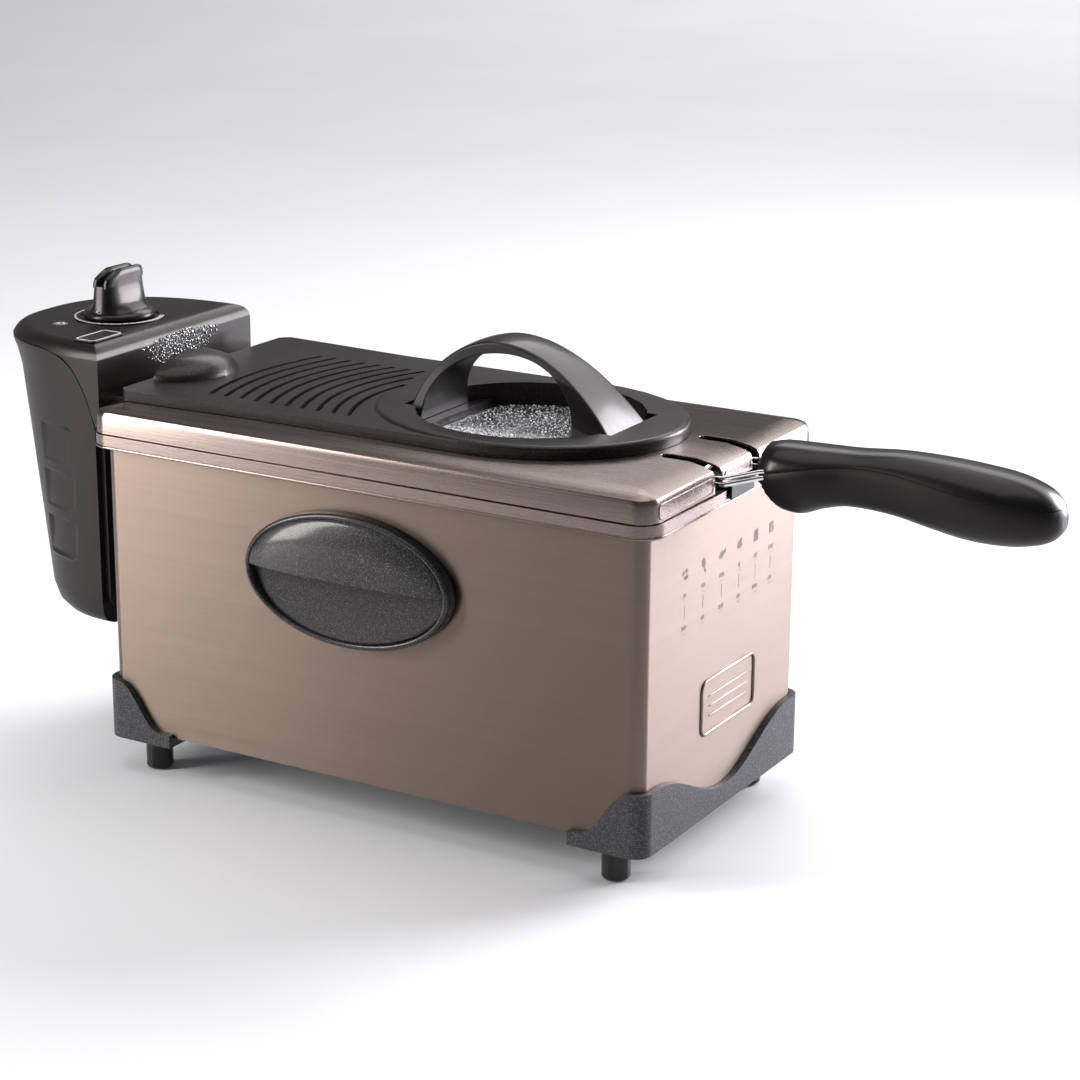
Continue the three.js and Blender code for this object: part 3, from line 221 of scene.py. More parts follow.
glass = Mat("window_glass")
mist = glass.noise(None, 45.0, 3.0)
across_glass = glass.maths("ADD", glass.axis(1), glass.maths("MULTIPLY", mist, 0.02))
steamed = glass.level(across_glass, 1.0, 0.0, -0.004, 0.012)
glass.set(Base_Color=glass.mix(steamed, (0.30, 0.30, 0.31), (0.80, 0.80, 0.80)), IOR=1.45,
          Transmission_Weight=glass.level(steamed, 0.9, 0.1),
          Roughness=glass.level(mist, 0.1, 0.4, 0.3, 0.75),
          Normal=glass.bump(glass.noise(None, 900.0), 0.0003, 0.4))
M["glass"] = glass.mat

# Water is clear: the white and near-black speckle in this base colour is painted glints and painted dark
# reflections, not the water's own colour.
water = Mat("water_drops_painted_glints")
water.set(Base_Color=water.ramp(water.noise(None, 900.0, 2.0), (0.44, (0.06, 0.06, 0.065)),
                                (0.62, (0.95, 0.95, 0.96))),
          Metallic=0.5, IOR=1.33, Roughness=water.level(water.noise(None, 300.0, 2.0), 0.04, 0.14))
M["water"] = water.mat

printed = Mat("grey_print")
printed.set(Base_Color=printed.ramp(printed.noise(None, 900.0, 3.0), (0.3, (0.10, 0.085, 0.08)),
                                    (0.7, (0.15, 0.13, 0.125))),
            Roughness=printed.level(printed.noise(None, 500.0), 0.4, 0.6))
M["grey_print"] = printed.mat


# ------------------------------------------------------------------ mesh helpers
def keep(name, mesh, mat, body, replaces=()):
    """Makes a piece out of a mesh in the row frame."""
    obj = bpy.data.objects.new(name, mesh)
    bpy.context.scene.collection.objects.link(obj)
    mesh.materials.clear()
    for m in mat if isinstance(mat, (list, tuple)) else [mat]:
        mesh.materials.append(M[m])
    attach(obj, body)
    if replaces:
        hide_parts(*replaces)
    return obj


def finish_mesh(bm, name, smooth=True):
    mesh = bpy.data.meshes.new(name)
    bmesh.ops.recalc_face_normals(bm, faces=bm.faces)
    for f in bm.faces:
        f.smooth = smooth
    bm.to_mesh(mesh)
    bm.free()
    return mesh


def soften(obj, width, angle=30, segments=2):
    """A real edge radius, and shading that stays flat on the flat faces."""
    if width:
        bevel = obj.modifiers.new("edge", "BEVEL")
        bevel.width, bevel.segments = width, segments
        bevel.limit_method, bevel.angle_limit = "ANGLE", math.radians(angle)
        bevel.use_clamp_overlap = True
        bevel.miter_outer = "MITER_ARC"
    weighted = obj.modifiers.new("shade", "WEIGHTED_NORMAL")
    weighted.keep_sharp = True
    return obj


def clean_copy(node, merge):
    """The surface of a CAD node, welded, and with its flat faces' triangles merged if asked for."""
    bm = bmesh.new()
    bm.from_mesh(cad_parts[node].data)
    bmesh.ops.remove_doubles(bm, verts=bm.verts, dist=3e-6)
    if merge:
        bmesh.ops.dissolve_limit(bm, angle_limit=math.radians(0.4), verts=bm.verts, edges=bm.edges)
    return bm


def rebuild(node, mat, body, width=0.0004, angle=30, segments=2, merge=True):
    """A finished stand-in for a CAD node: the same solid with rounded edges."""
    mesh = finish_mesh(clean_copy(node, merge), node)
    obj = keep(node.replace("_", "-"), mesh, mat, body, [node])
    return soften(obj, width, angle, segments)


def skin(rings, closed=True, caps=True):
    """A bmesh over rings of points, each with the same count."""
    bm = bmesh.new()
    rows = [[bm.verts.new(p) for p in ring] for ring in rings]
    count = len(rows[0])
    for a, b in zip(rows, rows[1:]):
        for i in range(count if closed else count - 1):
            j = (i + 1) % count
            bm.faces.new((a[i], a[j], b[j], b[i]))
    if caps:
        bm.faces.new(rows[0][::-1])
        bm.faces.new(rows[-1])
    return bm


def pour(piece, bm):
    """Adds a bmesh to another one and frees it."""
    temp = bpy.data.meshes.new("temp")
    piece.to_mesh(temp)
    bm.from_mesh(temp)
    piece.free()
    bpy.data.meshes.remove(temp)


def bent(corners, bend, steps=8):
    """A line of points through corners, each one rounded."""
    points = [Vector(c) for c in corners]
    path = [points[0]]
    for a, b, c in zip(points, points[1:], points[2:]):
        into, out = (b - a).normalized(), (c - b).normalized()
        reach = bend * math.tan(into.angle(out) / 2)
        start, end = b - into * reach, b + out * reach
        for k in range(steps + 1):
            t = k / steps
            path.append(start * (1 - t) ** 2 + b * 2 * t * (1 - t) + end * t * t)
    path.append(points[-1])
    return path


def pipe(path, radius, sides=14, bm=None, caps=True):
    """A round tube along a line of points, added to a bmesh."""
    rings = []
    tangent = (path[1] - path[0]).normalized()
    side = tangent.orthogonal().normalized()
    for i, p in enumerate(path):
        after, before = path[min(i + 1, len(path) - 1)], path[max(i - 1, 0)]
        new = (after - before).normalized()
        side = (side - new * side.dot(new)).normalized()
        up = new.cross(side)
        r = radius(i / (len(path) - 1)) if callable(radius) else radius
        rings.append([p + (side * math.cos(a) + up * math.sin(a)) * r
                      for a in (2 * math.pi * k / sides for k in range(sides))])
    piece = skin(rings, True, caps)
    if bm is None:
        return piece
    pour(piece, bm)
    return bm


# ------------------------------------------------------------------ housing
rebuild("housing_shell", "housing", "housing", 0.0003)
rebuild("base_plate", "base", "housing", 0.0004)
for end in ("right", "left"):
    rebuild(f"end_bracket_{end}", "bracket", "housing", 0.0007, 28, 3)
for node in ("foot_left_front", "foot_left_back", "foot_right_front", "foot_right_back"):
    rebuild(node, "foot", "housing", 0.0006, 40, 3)
rebuild("head_rail", "base", "housing", 0.0003)


# Side grip: an oval rim, a bulging upper half with a lip, and a finger pocket that slopes in under it.
GRIP_X, GRIP_Z, GRIP_A, GRIP_B = -5.5, 137.3, 63.5, 36.0
GRIP_WALL, GRIP_FACE, GRIP_DEEP = 87.8, 95.4, 90.6
GRIP_BULGE, GRIP_LIP, GRIP_SHEET = 5.75, 1.0, 2.4
OVAL_SIDES, POCKET_ROWS, DOME_SIDES, DOME_ROWS = 96, 24, 64, 28


def oval_ring(a, b, depth, side, count=OVAL_SIDES):
    return [at(GRIP_X + a * math.cos(t), side * depth, GRIP_Z + b * math.sin(t))
            for t in (2 * math.pi * k / count for k in range(count))]


def side_grip(side, node):
    a, b = GRIP_A, GRIP_B
    rim_profile = [(0, GRIP_WALL), (0, GRIP_FACE - 2.4), (0.35, GRIP_FACE - 1.1), (1.1, GRIP_FACE - 0.25),
                   (2.0, GRIP_FACE), (2.8, GRIP_FACE - 0.15), (3.2, GRIP_FACE - 0.8), (3.3, GRIP_FACE - 2.0),
                   (3.3, GRIP_WALL)]
    rings = [oval_ring(a - inset, b - inset, depth, side) for inset, depth in rim_profile]
    bm = skin(rings + [rings[0]], True, False)
    bmesh.ops.remove_doubles(bm, verts=bm.verts, dist=1e-7)
    # the pocket: from the rim's level at the bottom to its deepest behind the lip
    a2, b2 = a - 3.3, b - 3.3
    rows = []
    for k in range(POCKET_ROWS + 1):
        share = k / POCKET_ROWS
        row = []
        for t in (2 * math.pi * i / OVAL_SIDES for i in range(OVAL_SIDES)):
            u, v = a2 * share * math.cos(t), b2 * share * math.sin(t)
            fall = min(max((v + b2) / (b2 - 3), 0), 1)
            depth = GRIP_FACE - 1.0 - (GRIP_FACE - 1.0 - GRIP_DEEP) * math.sin(fall * math.pi / 2)
            row.append(at(GRIP_X + u, side * depth, GRIP_Z + v))
        rows.append(row)
    pocket = skin(rows[1:] + [oval_ring(a2, b2, GRIP_WALL, side)], True, False)
    pocket.verts.ensure_lookup_table()
    pocket.faces.new(pocket.verts[:OVAL_SIDES])
    pocket.faces.new(pocket.verts[-OVAL_SIDES:])
    # the dome: outer and inner skins over the upper half, joined round their edge
    a3, b3 = a - 2.9, b - 2.9

    def dome_point(share, t, inner):
        u = a3 * share * math.cos(t)
        v = GRIP_LIP + (b3 - GRIP_LIP) * share * math.sin(t)
        reach = max(1 - (u / a3) ** 2 - (v / b3) ** 2, 0)
        depth = GRIP_FACE - 1.3 + (GRIP_BULGE + 1.3) * reach ** 0.5 * (1 - 0.12 * reach)
        return at(GRIP_X + u, side * (depth - inner * GRIP_SHEET), GRIP_Z + v)

    angles = [math.pi * i / DOME_SIDES for i in range(DOME_SIDES + 1)]
    shares = [math.sin(math.pi / 2 * k / DOME_ROWS) for k in range(DOME_ROWS + 1)]
    skins = []
    dome = bmesh.new()
    for inner in (0, 1):
        middle = dome.verts.new(dome_point(0, 0, inner))
        grid = [[dome.verts.new(dome_point(s, t, inner)) for t in angles] for s in shares[1:]]
        for i in range(DOME_SIDES):
            dome.faces.new((middle, grid[0][i], grid[0][i + 1]))
            for p, q in zip(grid, grid[1:]):
                dome.faces.new((p[i], q[i], q[i + 1], p[i + 1]))
        skins.append((middle, grid))
    (m0, g0), (m1, g1) = skins
    for i in range(DOME_SIDES):
        dome.faces.new((g0[-1][i], g0[-1][i + 1], g1[-1][i + 1], g1[-1][i]))
    for end in (0, -1):
        line0 = [m0] + [row[end] for row in g0]
        line1 = [m1] + [row[end] for row in g1]
        for i in range(len(line0) - 1):
            dome.faces.new((line0[i], line0[i + 1], line1[i + 1], line1[i]))
    names = [f"{node.replace('_', '-')}-{part}" for part in ("rim", "pocket", "dome")]
    soften(keep(names[0], finish_mesh(bm, names[0]), "side", "housing", [node]), 0)
    soften(keep(names[1], finish_mesh(pocket, names[1]), "side_low", "housing", ()), 0)
    dome = keep(names[2], finish_mesh(dome, names[2]), "side", "housing", ())
    soften(dome, 0.0006, 50, 3)


side_grip(-1, "side_handle_front")
side_grip(1, "side_handle_back")

# ------------------------------------------------------------------ pot
rebuild("oil_pot", "lid", "pot", 0.0005)

# ------------------------------------------------------------------ control head
# A D in plan. The shell tapers down to a rounded bottom and carries three recessed
# finger panels on each side; the cover sweeps down over its front corners.
HEAD_FRONT, HEAD_DEPTH, HEAD_HALF = -183.5, 96.8, 69.9
HEAD_BOTTOM, HEAD_TOP, HEAD_SKIRT, HEAD_PLATE = 73.2, 234.5, 190.2, -186.8
HEAD_FORM = [(0, 45, 10), (2.5, 36, 4), (7, 30, 1), (15, 26, 0), (139.3, 6.5, 0), (148.3, 3, 0),
             (153.3, 0, 0), (161.3, 0, 0)]
PANELS = [(184.5, 164.5), (157.5, 137.5), (130.5, 110.5)]
PANEL_BACK, PANEL_FRONT = -231.5, -205.5
SHELL_ROWS, COVER_ROWS, COVER_EDGE = 150, 30, 7.8
FULL_PLAN_Z = 228


def head_loss(height):
    """How much shallower and narrower the D is at a height above the head's bottom."""
    for (h0, d0, w0), (h1, d1, w1) in zip(HEAD_FORM, HEAD_FORM[1:]):
        if height <= h1:
            t = max((height - h0) / (h1 - h0), 0)
            return d0 + (d1 - d0) * t, w0 + (w1 - w0) * t
    return 0, 0


def head_point(angle, z, inset=0.0):
    """A point on the D's wall; angle runs from -90 at one front corner to 90 at the other."""
    less_depth, less_width = head_loss(z - HEAD_BOTTOM)
    power = 2 / 2.4
    y = math.copysign((HEAD_HALF - less_width - inset) * abs(math.sin(angle)) ** power, math.sin(angle))
    x = HEAD_FRONT - inset - (HEAD_DEPTH - less_depth - 2 * inset) * abs(math.cos(angle)) ** power
    return x, y


def seam_height(x):
    """Side view of the seam between cover and shell."""
    t = min(max((HEAD_FRONT - 4.0 - x) / 42, 0), 1)
    return HEAD_TOP - 6.0 - (HEAD_TOP - 6.0 - HEAD_SKIRT) * (1 - t) ** 3.4 - 2.5 * (1 - t)


def smooth_step(value, low, high):
    t = min(max((value - low) / (high - low), 0), 1)
    return t * t * (3 - 2 * t)


def panel_depth(x, z):
    """Depth of the finger panels at a point of the side wall, with a ridge just under each lower edge."""
    across = smooth_step(x, PANEL_BACK - 0.7, PANEL_BACK + 0.7)
    across *= 1 - smooth_step(x, PANEL_FRONT - 0.7, PANEL_FRONT + 0.7)
    depth = 0.0
    for high, low in PANELS:
        inside = smooth_step(z, low - 0.6, low + 0.6) * (1 - smooth_step(z, high - 0.6, high + 0.6))
        depth = max(depth, inside * (0.5 + 1.3 * smooth_step(z, high - 22, high)) * across)
        ridge = math.exp(-((z - low + 1.6) / 0.8) ** 2)
        depth -= 0.7 * ridge * across
    return depth


def head_columns():
    angles = [-math.pi / 2 + math.pi * i / 180 for i in range(181)]
    ends = [-math.pi / 2 + 0.004, -math.pi / 2 + 0.010], [math.pi / 2 - 0.010, math.pi / 2 - 0.004]
    return [angles[0], *ends[0], *angles[1:-1], *ends[1], angles[-1]]


def head_shell():
    rows = []
    columns = head_columns()
    bottoms = [0, 0.6, 1.4, 2.5, 4.5, 7, 10, 12.5, 15]
    for k in range(SHELL_ROWS):
        row = []
        for angle in columns:
            x_top, _ = head_point(angle, FULL_PLAN_Z)
            seam = seam_height(x_top) - 0.2
            if k < len(bottoms):
                z = HEAD_BOTTOM + bottoms[k]
            else:
                share = (k - len(bottoms) + 1) / (SHELL_ROWS - len(bottoms))
                z = HEAD_BOTTOM + bottoms[-1] + (seam - HEAD_BOTTOM - bottoms[-1]) * share
            x, y = head_point(angle, z)
            x = min(x, HEAD_PLATE - 0.3)
            depth = panel_depth(x, z) if abs(y) > 20 else 0
            normal = Vector((-abs(math.cos(angle)), math.sin(angle)))
            row.append(at(x - normal.x * depth, y - normal.y * depth, z))
        rows.append(row)
    bm = skin(rows)
    bmesh.ops.remove_doubles(bm, verts=bm.verts, dist=1e-6)
    mesh = finish_mesh(bm, "head-shell")
    mesh.set_sharp_from_angle(angle=math.radians(50))
    soften(keep("head-shell", mesh, "head", "control_head", ["head_shell"]), 0)


def head_cover():
    columns = head_columns()
    fronts = [(HEAD_HALF - 2 * HEAD_HALF * k / 20) for k in range(1, 20)]
    edge = [(0, 0.0), (0.5, 0.02), (1.6, 0.25), (3.4, 1.0), (5.2, 2.4), (6.6, 4.4), (7.4, 6.8), (7.8, 9.6)]
    rows = []
    for k in range(COVER_ROWS + len(edge)):
        row = []
        for item in columns + fronts:
            on_wall = len(row) < len(columns)
            x_top, y_top = head_point(item, FULL_PLAN_Z) if on_wall else (HEAD_FRONT, item)
            low = seam_height(x_top) + 0.25 if on_wall else HEAD_SKIRT
            shoulder = HEAD_TOP - COVER_EDGE
            if k < COVER_ROWS:
                z = low + (shoulder - low) * k / COVER_ROWS if low < shoulder else low
                inset = 0.0
            else:
                rise, inset = edge[k - COVER_ROWS]
                z = max(shoulder + rise, low)
            lip = 0.55 * (1 - smooth_step(z, low, low + 1.2)) if on_wall and k < COVER_ROWS else 0.0
            if on_wall:
                x, y = head_point(item, min(z, 233.0), inset + lip - 0.05)
                x = min(x, HEAD_FRONT)
            else:
                x, y = HEAD_FRONT - inset, item * (1 - inset / HEAD_HALF)
            row.append(at(x, y, z))
        rows.append(row)
    bm = skin(rows)
    bmesh.ops.remove_doubles(bm, verts=bm.verts, dist=1e-6)
    mesh = finish_mesh(bm, "head-cover")
    mesh.set_sharp_from_angle(angle=math.radians(50))
    soften(keep("head-cover", mesh, "head_top", "control_head", ["head_cover"]), 0)


head_shell()
head_cover()
rebuild("head_plate", "head", "control_head", 0.0003)
for node in ("head_tongue", "element_carrier", "element_strap_left", "element_strap_right"):
    rebuild(node, "bright", "control_head", 0.0002)
rebuild("heating_element", "element", "control_head", 0)
rebuild("sensor_tube", "chrome", "control_head", 0)
for node in ("thermostat", "thermal_cutout", "terminal_block", "safety_switch"):
    rebuild(node, "inner", "control_head", 0.0004)
rebuild("cord_gland", "gasket", "control_head", 0.0004)
for node in ("top_screw_front", "top_screw_back"):
    rebuild(node, "screw", "control_head", 0.0002)
rebuild("badge_plate", "head_top", "control_head", 0.0002)
rebuild("dial_ring", "head_top", "control_head", 0.0001)

KNOB_X, DIAL_TOP, KNOB_BASE = -224.0, 235.22, 235.7
DIAL_INNER, DIAL_OUTER, DIAL_START, DIAL_TICKS, TICK_STEP, TICK_GAP = 25.3, 25.6, 128, 30, 9, 1.2


def rounded_path(half_a, half_b, r, steps=6):
    """Points of a rounded rectangle round (0, 0)."""
    points = []
    for sa, sb, start in ((1, -1, -90), (1, 1, 0), (-1, 1, 90), (-1, -1, 180)):
        for k in range(steps + 1):
            a = math.radians(start + 90 * k / steps)
            points.append((sa * (half_a - r) + r * math.cos(a), sb * (half_b - r) + r * math.sin(a)))
    return points


def loop_pipe(points, radius, sides=8):
    """A round bead along a closed loop of points."""
    rings = []
    count = len(points)
    normal = (points[count // 3] - points[0]).cross(points[2 * count // 3] - points[0]).normalized()
    for i, p in enumerate(points):
        tangent = (points[(i + 1) % count] - points[i - 1]).normalized()
        side = tangent.cross(normal).normalized()
        rings.append([p + (side * math.cos(a) + normal * math.sin(a)) * radius
                      for a in (2 * math.pi * k / sides for k in range(sides))])
    bm = skin(rings + [rings[0]], True, False)
    bmesh.ops.remove_doubles(bm, verts=bm.verts, dist=1e-8)
    return bm


def slab(bm, outline, depth):
    """A thin prism over an outline of points, depth being a vector."""
    low = [bm.verts.new(p) for p in outline]
    high = [bm.verts.new(p + depth) for p in outline]
    bm.faces.new(low[::-1])
    bm.faces.new(high)
    for i in range(len(low)):
        j = (i + 1) % len(low)
        bm.faces.new((low[i], low[j], high[j], high[i]))


def head_marks():
    """A blank frame on the badge, and a scale of ticks round the knob."""
    badge_low, badge_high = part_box("badge_plate")
    middle, half = (badge_low + badge_high) / 2, (badge_high - badge_low) / 2
    points = [Vector((middle.x + a, middle.y + b, badge_high.z)) for a, b in
              rounded_path(half.x - 0.0011, half.y - 0.0011, 0.0022)]
    keep("badge-frame", finish_mesh(loop_pipe(points, 0.00035), "badge-frame"), "print", "control_head", ())
    bm = bmesh.new()
    lift = Vector((0, 0, 0.0001))

    def arc(r0, r1, a0, a1, steps):
        ends = [math.radians(a0 + (a1 - a0) * k / steps) for k in range(steps + 1)]
        rim = [at(KNOB_X + r1 * math.cos(a), r1 * math.sin(a), DIAL_TOP) for a in ends]
        rim += [at(KNOB_X + r0 * math.cos(a), r0 * math.sin(a), DIAL_TOP) for a in reversed(ends)]
        slab(bm, rim, lift)

    for k in range(DIAL_TICKS):
        share = k / (DIAL_TICKS - 1)
        begin, end = DIAL_START + TICK_STEP * k * 0.98, DIAL_START + TICK_STEP * (k + 1) * 0.98
        arc(DIAL_INNER - 2.3 * share, DIAL_OUTER, begin, end - TICK_GAP, 4)
    keep("dial-scale", finish_mesh(bm, "dial-scale", False), "print", "control_head", ())


def super_ring(x, y, z, a, b, power, count=56):
    ring = []
    for t in (2 * math.pi * k / count for k in range(count)):
        c, s = math.cos(t), math.sin(t)
        across, along = math.copysign(a * abs(c) ** power, c), math.copysign(b * abs(s) ** power, s)
        ring.append(at(x + across, y + along, z))
    return ring


def temperature_knob():
    profile = [(20.2, 0), (20.4, 0.4), (20.4, 1.4), (20.0, 2.2), (19.0, 3.0), (17.0, 3.8), (14.0, 4.4),
               (9.0, 4.9), (2, 5.1)]
    bm = skin([super_ring(KNOB_X, 0, KNOB_BASE + z, r, r, 1, 72) for r, z in profile])
    body = [(3.6, 15.5, 19.2, 0.95), (4.6, 13.4, 18.8, 0.85), (6.2, 11.0, 18.4, 0.75), (8.4, 9.2, 18.0, 0.65),
            (11.5, 8.0, 17.7, 0.58), (15, 7.3, 17.4, 0.55), (19, 6.9, 17.1, 0.53), (22.2, 6.7, 16.8, 0.53)]
    ridge = [(21.0, 3.0, 16.6, 0.55), (24.4, 2.9, 16.2, 0.55), (26.2, 2.6, 15.6, 0.6),
             (27.0, 1.9, 14.6, 0.7), (27.3, 1.0, 13.4, 0.8)]
    for middle, steps in ((0, body), (-3.6, ridge), (3.6, ridge)):
        rings = []
        for z, a, b, power in steps:
            share = (z - 3.6) / 23.6
            rings.append([p - Vector((0, 0, max(0, -p.y - 0.004) * 0.36 * share))
                          for p in super_ring(KNOB_X + middle, 0, KNOB_BASE + z, a, b, power)])
        pour(skin(rings), bm)
    mesh = finish_mesh(bm, "temperature-knob")
    mesh.set_sharp_from_angle(angle=math.radians(60))
    soften(keep("temperature-knob", mesh, "knob", "knob", ["temperature_knob"]), 0)
    pointer = bmesh.new()
    corners = ((-0.7, -19.6), (0.7, -19.6), (0.7, -15), (-0.7, -15))
    slab(pointer, [at(KNOB_X + a, b, KNOB_BASE + 4.4) for a, b in corners], Vector((0, 0, 0.0006)))
    keep("knob-pointer", finish_mesh(pointer, "knob-pointer", False), "print", "knob", ())


head_marks()
temperature_knob()
rebuild("knob_shaft", "screw", "knob", 0.0003)
rebuild("reset_button", "reset", "reset", 0.0003)

# ------------------------------------------------------------------ basket and its handle
rebuild("basket_rim", "chrome", "basket", 0.0012, 30, 3)
rebuild("handle_bracket", "bright", "basket", 0.0003)
rebuild("rim_hook", "grip", "basket", 0.0005, 30, 3)

BASKET_X, BASKET_LENGTH, BASKET_WIDTH, BASKET_LOW, BASKET_HIGH = 14.0, 262.6, 138.6, 84.7, 182.5
MESH_PITCH, MESH_WIRE, FLOOR_BEND = 6.2, 0.45, 8


def basket_wires():
    """The basket is a mesh of thin wires: hoops round the walls, and bent wires across the floor."""
    bm = bmesh.new()

    def spread(z):
        rise = z - BASKET_LOW
        if rise < FLOOR_BEND:
            return -7.6 + 4.8 * rise / FLOOR_BEND
        return -2.8 + 2.8 * (rise - FLOOR_BEND) / (BASKET_HIGH - BASKET_LOW - FLOOR_BEND)

    z = BASKET_LOW + 4
    while z < BASKET_HIGH - 1:
        grow = spread(z)
        loop = [at(BASKET_X + a, b, z) for a, b in
                rounded_path(BASKET_LENGTH / 2 + grow, BASKET_WIDTH / 2 + grow, 15 + grow, 4)]
        pour(loop_pipe(loop, MESH_WIRE / 1000, 5), bm)
        z += MESH_PITCH
    for along_x, reach, width in ((True, BASKET_LENGTH, BASKET_WIDTH), (False, BASKET_WIDTH, BASKET_LENGTH)):
        count = int((width - 24) / MESH_PITCH)
        for k in range(count + 1):
            across = (k - count / 2) * MESH_PITCH
            line = []
            for side in (-1, 1):
                part = []
                for level in (BASKET_HIGH, BASKET_LOW + FLOOR_BEND, BASKET_LOW + 3, BASKET_LOW):
                    far = side * (reach / 2 + spread(level) - (3 if level == BASKET_LOW else 0))
                    offset = across * (1 - 0.06 * (BASKET_HIGH - level) / 100)
                    spot = (far, offset) if along_x else (offset, far)
                    part.append(at(BASKET_X + spot[0], spot[1], level))
                line += part if side < 0 else part[::-1]
            pipe(line, MESH_WIRE / 1000, 5, bm)
    keep("basket-mesh", finish_mesh(bm, "basket-mesh"), "bright", "basket", ["basket_tray"])


basket_wires()

PIVOT_X, PIVOT_Z = 152.0, 198.2


def handle_wires():
    for side, word in ((-1, "front"), (1, "back")):
        for lift, radius in ((0.0, 1.4), (3.3, 1.1)):
            z = PIVOT_Z + lift
            route = bent([at(PIVOT_X + (5 if lift else 0), side * 21, z), at(174, side * 21, z + 0.4),
                          at(192, side * 16, z + 5.5), at(215.5, side * 13, z + 8)], 0.014, 10)
            name = f"handle-wire-{'upper' if lift else 'lower'}-{word}"
            stands = [f"upper_wire_{word}"] if lift else (["pivot_wire"] if side < 0 else [])
            mesh = finish_mesh(pipe(route, radius / 1000, 16), name)
            keep(name, mesh, "chrome", "basket_handle", stands)
        turns = [at(PIVOT_X + 2.3 * math.cos(a), side * (18.2 + 4.6 * a / (8 * math.pi)),
                    PIVOT_Z + 2.3 * math.sin(a))
                 for a in (8 * math.pi * k / 96 for k in range(97))]
        mesh = finish_mesh(pipe(turns, 0.0005, 8), "coil")
        keep(f"pivot-coil-{word}", mesh, "chrome", "basket_handle", ())
    pin = [at(PIVOT_X, y, PIVOT_Z) for y in (-28.3, -28, 0, 28, 28.3)]
    mesh = finish_mesh(pipe(pin, 0.0016, 20), "pivot-pin")
    keep("pivot-pin", mesh, "chrome", "basket_handle", ())


handle_wires()

# Grip: an upper and a lower half shell that meet on a line above the middle, cut back at the front.
GRIP_START, GRIP_END = 190.2, 345.0
GRIP_RINGS = [(0, 5.4, 15, 15), (0.04, 5.2, 16.5, 18), (0.13, 4.6, 17.6, 19.5), (0.21, 7, 15.6, 18.5),
              (0.3, 8.8, 14.4, 17.2), (0.45, 9.4, 15.8, 18), (0.59, 7.6, 17.6, 20), (0.71, 5.8, 18.4, 21.2),
              (0.83, 4.8, 17.4, 20.5), (0.92, 4, 14.4, 17), (0.97, 3.2, 10.4, 12.5),
              (0.994, 2.6, 5.5, 7), (1, 2.4, 2.4, 3)]
GRIP_ROWS, GRIP_ARC, GRIP_SQUARE = 90, 40, 0.85
PARTING = [(0, 7), (0.2, 14.4), (0.35, 17.4), (0.48, 17.2), (0.66, 13.6), (0.82, 11), (0.92, 9.6), (1, 9)]


def read_table(table, share, column):
    """A smooth value between the rows of a table, by a cubic through the neighbours."""
    places = [row[0] for row in table]
    i = max(min(sum(1 for p in places if p <= share) - 1, len(table) - 2), 0)
    t = (share - places[i]) / (places[i + 1] - places[i])
    value = [table[min(max(i + k, 0), len(table) - 1)][column] for k in (-1, 0, 1, 2)]
    place = [places[min(max(i + k, 0), len(table) - 1)] for k in (-1, 0, 1, 2)]
    span = place[2] - place[1]
    m1 = (value[2] - value[0]) / max(place[2] - place[0], 1e-6) * span
    m2 = (value[3] - value[1]) / max(place[3] - place[1], 1e-6) * span
    return ((2 * t ** 3 - 3 * t ** 2 + 1) * value[1] + (t ** 3 - 2 * t ** 2 + t) * m1
            + (-2 * t ** 3 + 3 * t ** 2) * value[2] + (t ** 3 - t ** 2) * m2)


def grip_half(upper):
    rings = []
    shares = [1 - (1 - k / GRIP_ROWS) ** 1.35 for k in range(GRIP_ROWS)] + [0.9995]
    for share in shares:
        rise, high, wide = (read_table(GRIP_RINGS, share, c) for c in (1, 2, 3))
        high, wide = high - 0.05, wide - 0.05
        part = read_table(PARTING, share, 1) - rise + (0.12 if upper else -0.12)
        level = min(max(part / high, -0.985), 0.985)
        cut = math.asin(math.copysign(abs(level) ** (1 / GRIP_SQUARE), level))
        a0, a1 = (cut, math.pi - cut) if upper else (math.pi - cut, 2 * math.pi + cut)
        ring = []
        for k in range(GRIP_ARC + 1):
            a = a0 + (a1 - a0) * k / GRIP_ARC
            c, s = math.cos(a), math.sin(a)
            y = math.copysign(wide * abs(c) ** GRIP_SQUARE, c)
            z = rise + math.copysign(high * abs(s) ** GRIP_SQUARE, s)
            x = GRIP_START + share * (GRIP_END - GRIP_START)
            if z < 3:
                x = max(x, GRIP_START + 1 + 28 * (3 - z) / 37)
            if k in (0, GRIP_ARC):
                y *= 0.985
            ring.append(at(x, y, PIVOT_Z + z))
        rings.append(ring)
    bm = skin(rings)
    bmesh.ops.remove_doubles(bm, verts=bm.verts, dist=2e-6)
    name = "grip-upper" if upper else "grip-lower"
    mesh = finish_mesh(bm, name)
    mesh.set_sharp_from_angle(angle=math.radians(45))
    look, node = ("grip", "grip_upper") if upper else ("grip_low", "grip_lower")
    soften(keep(name, mesh, look, "basket_handle", [node]), 0)


grip_half(True)
grip_half(False)
rebuild("grip_screw", "screw", "basket_handle", 0.0002)

# ------------------------------------------------------------------ lid
rebuild("lid_shell", "lid", "lid", 0.0003, 30, 2)
rebuild("lid_cover", "cover", "lid", 0.00035, 40, 2, merge=False)


# Lid handle: a broad curved bridge with a flat front and back, a crowned top and crisp edges.
ARCH_BASE, ARCH_STEPS = 208.35, 96


def arch_station(angle):
    """Middle line of the bridge at one angle: its inner point, outer point and half width."""
    c, s = -math.cos(angle), math.sin(angle)
    swing = abs(1 - c * c)
    outer_x = 38 + c * (50 if c < 0 else 73)
    inner_x = 44 + c * (47.5 if c < 0 else 43.5)
    outer = Vector((outer_x, 45.2 * swing ** (0.6 if c < 0 else 0.95)))
    inner = Vector((inner_x, 39.4 * swing ** 0.42))
    return inner, outer, 14 + 10 * (1 - s) ** 1.1


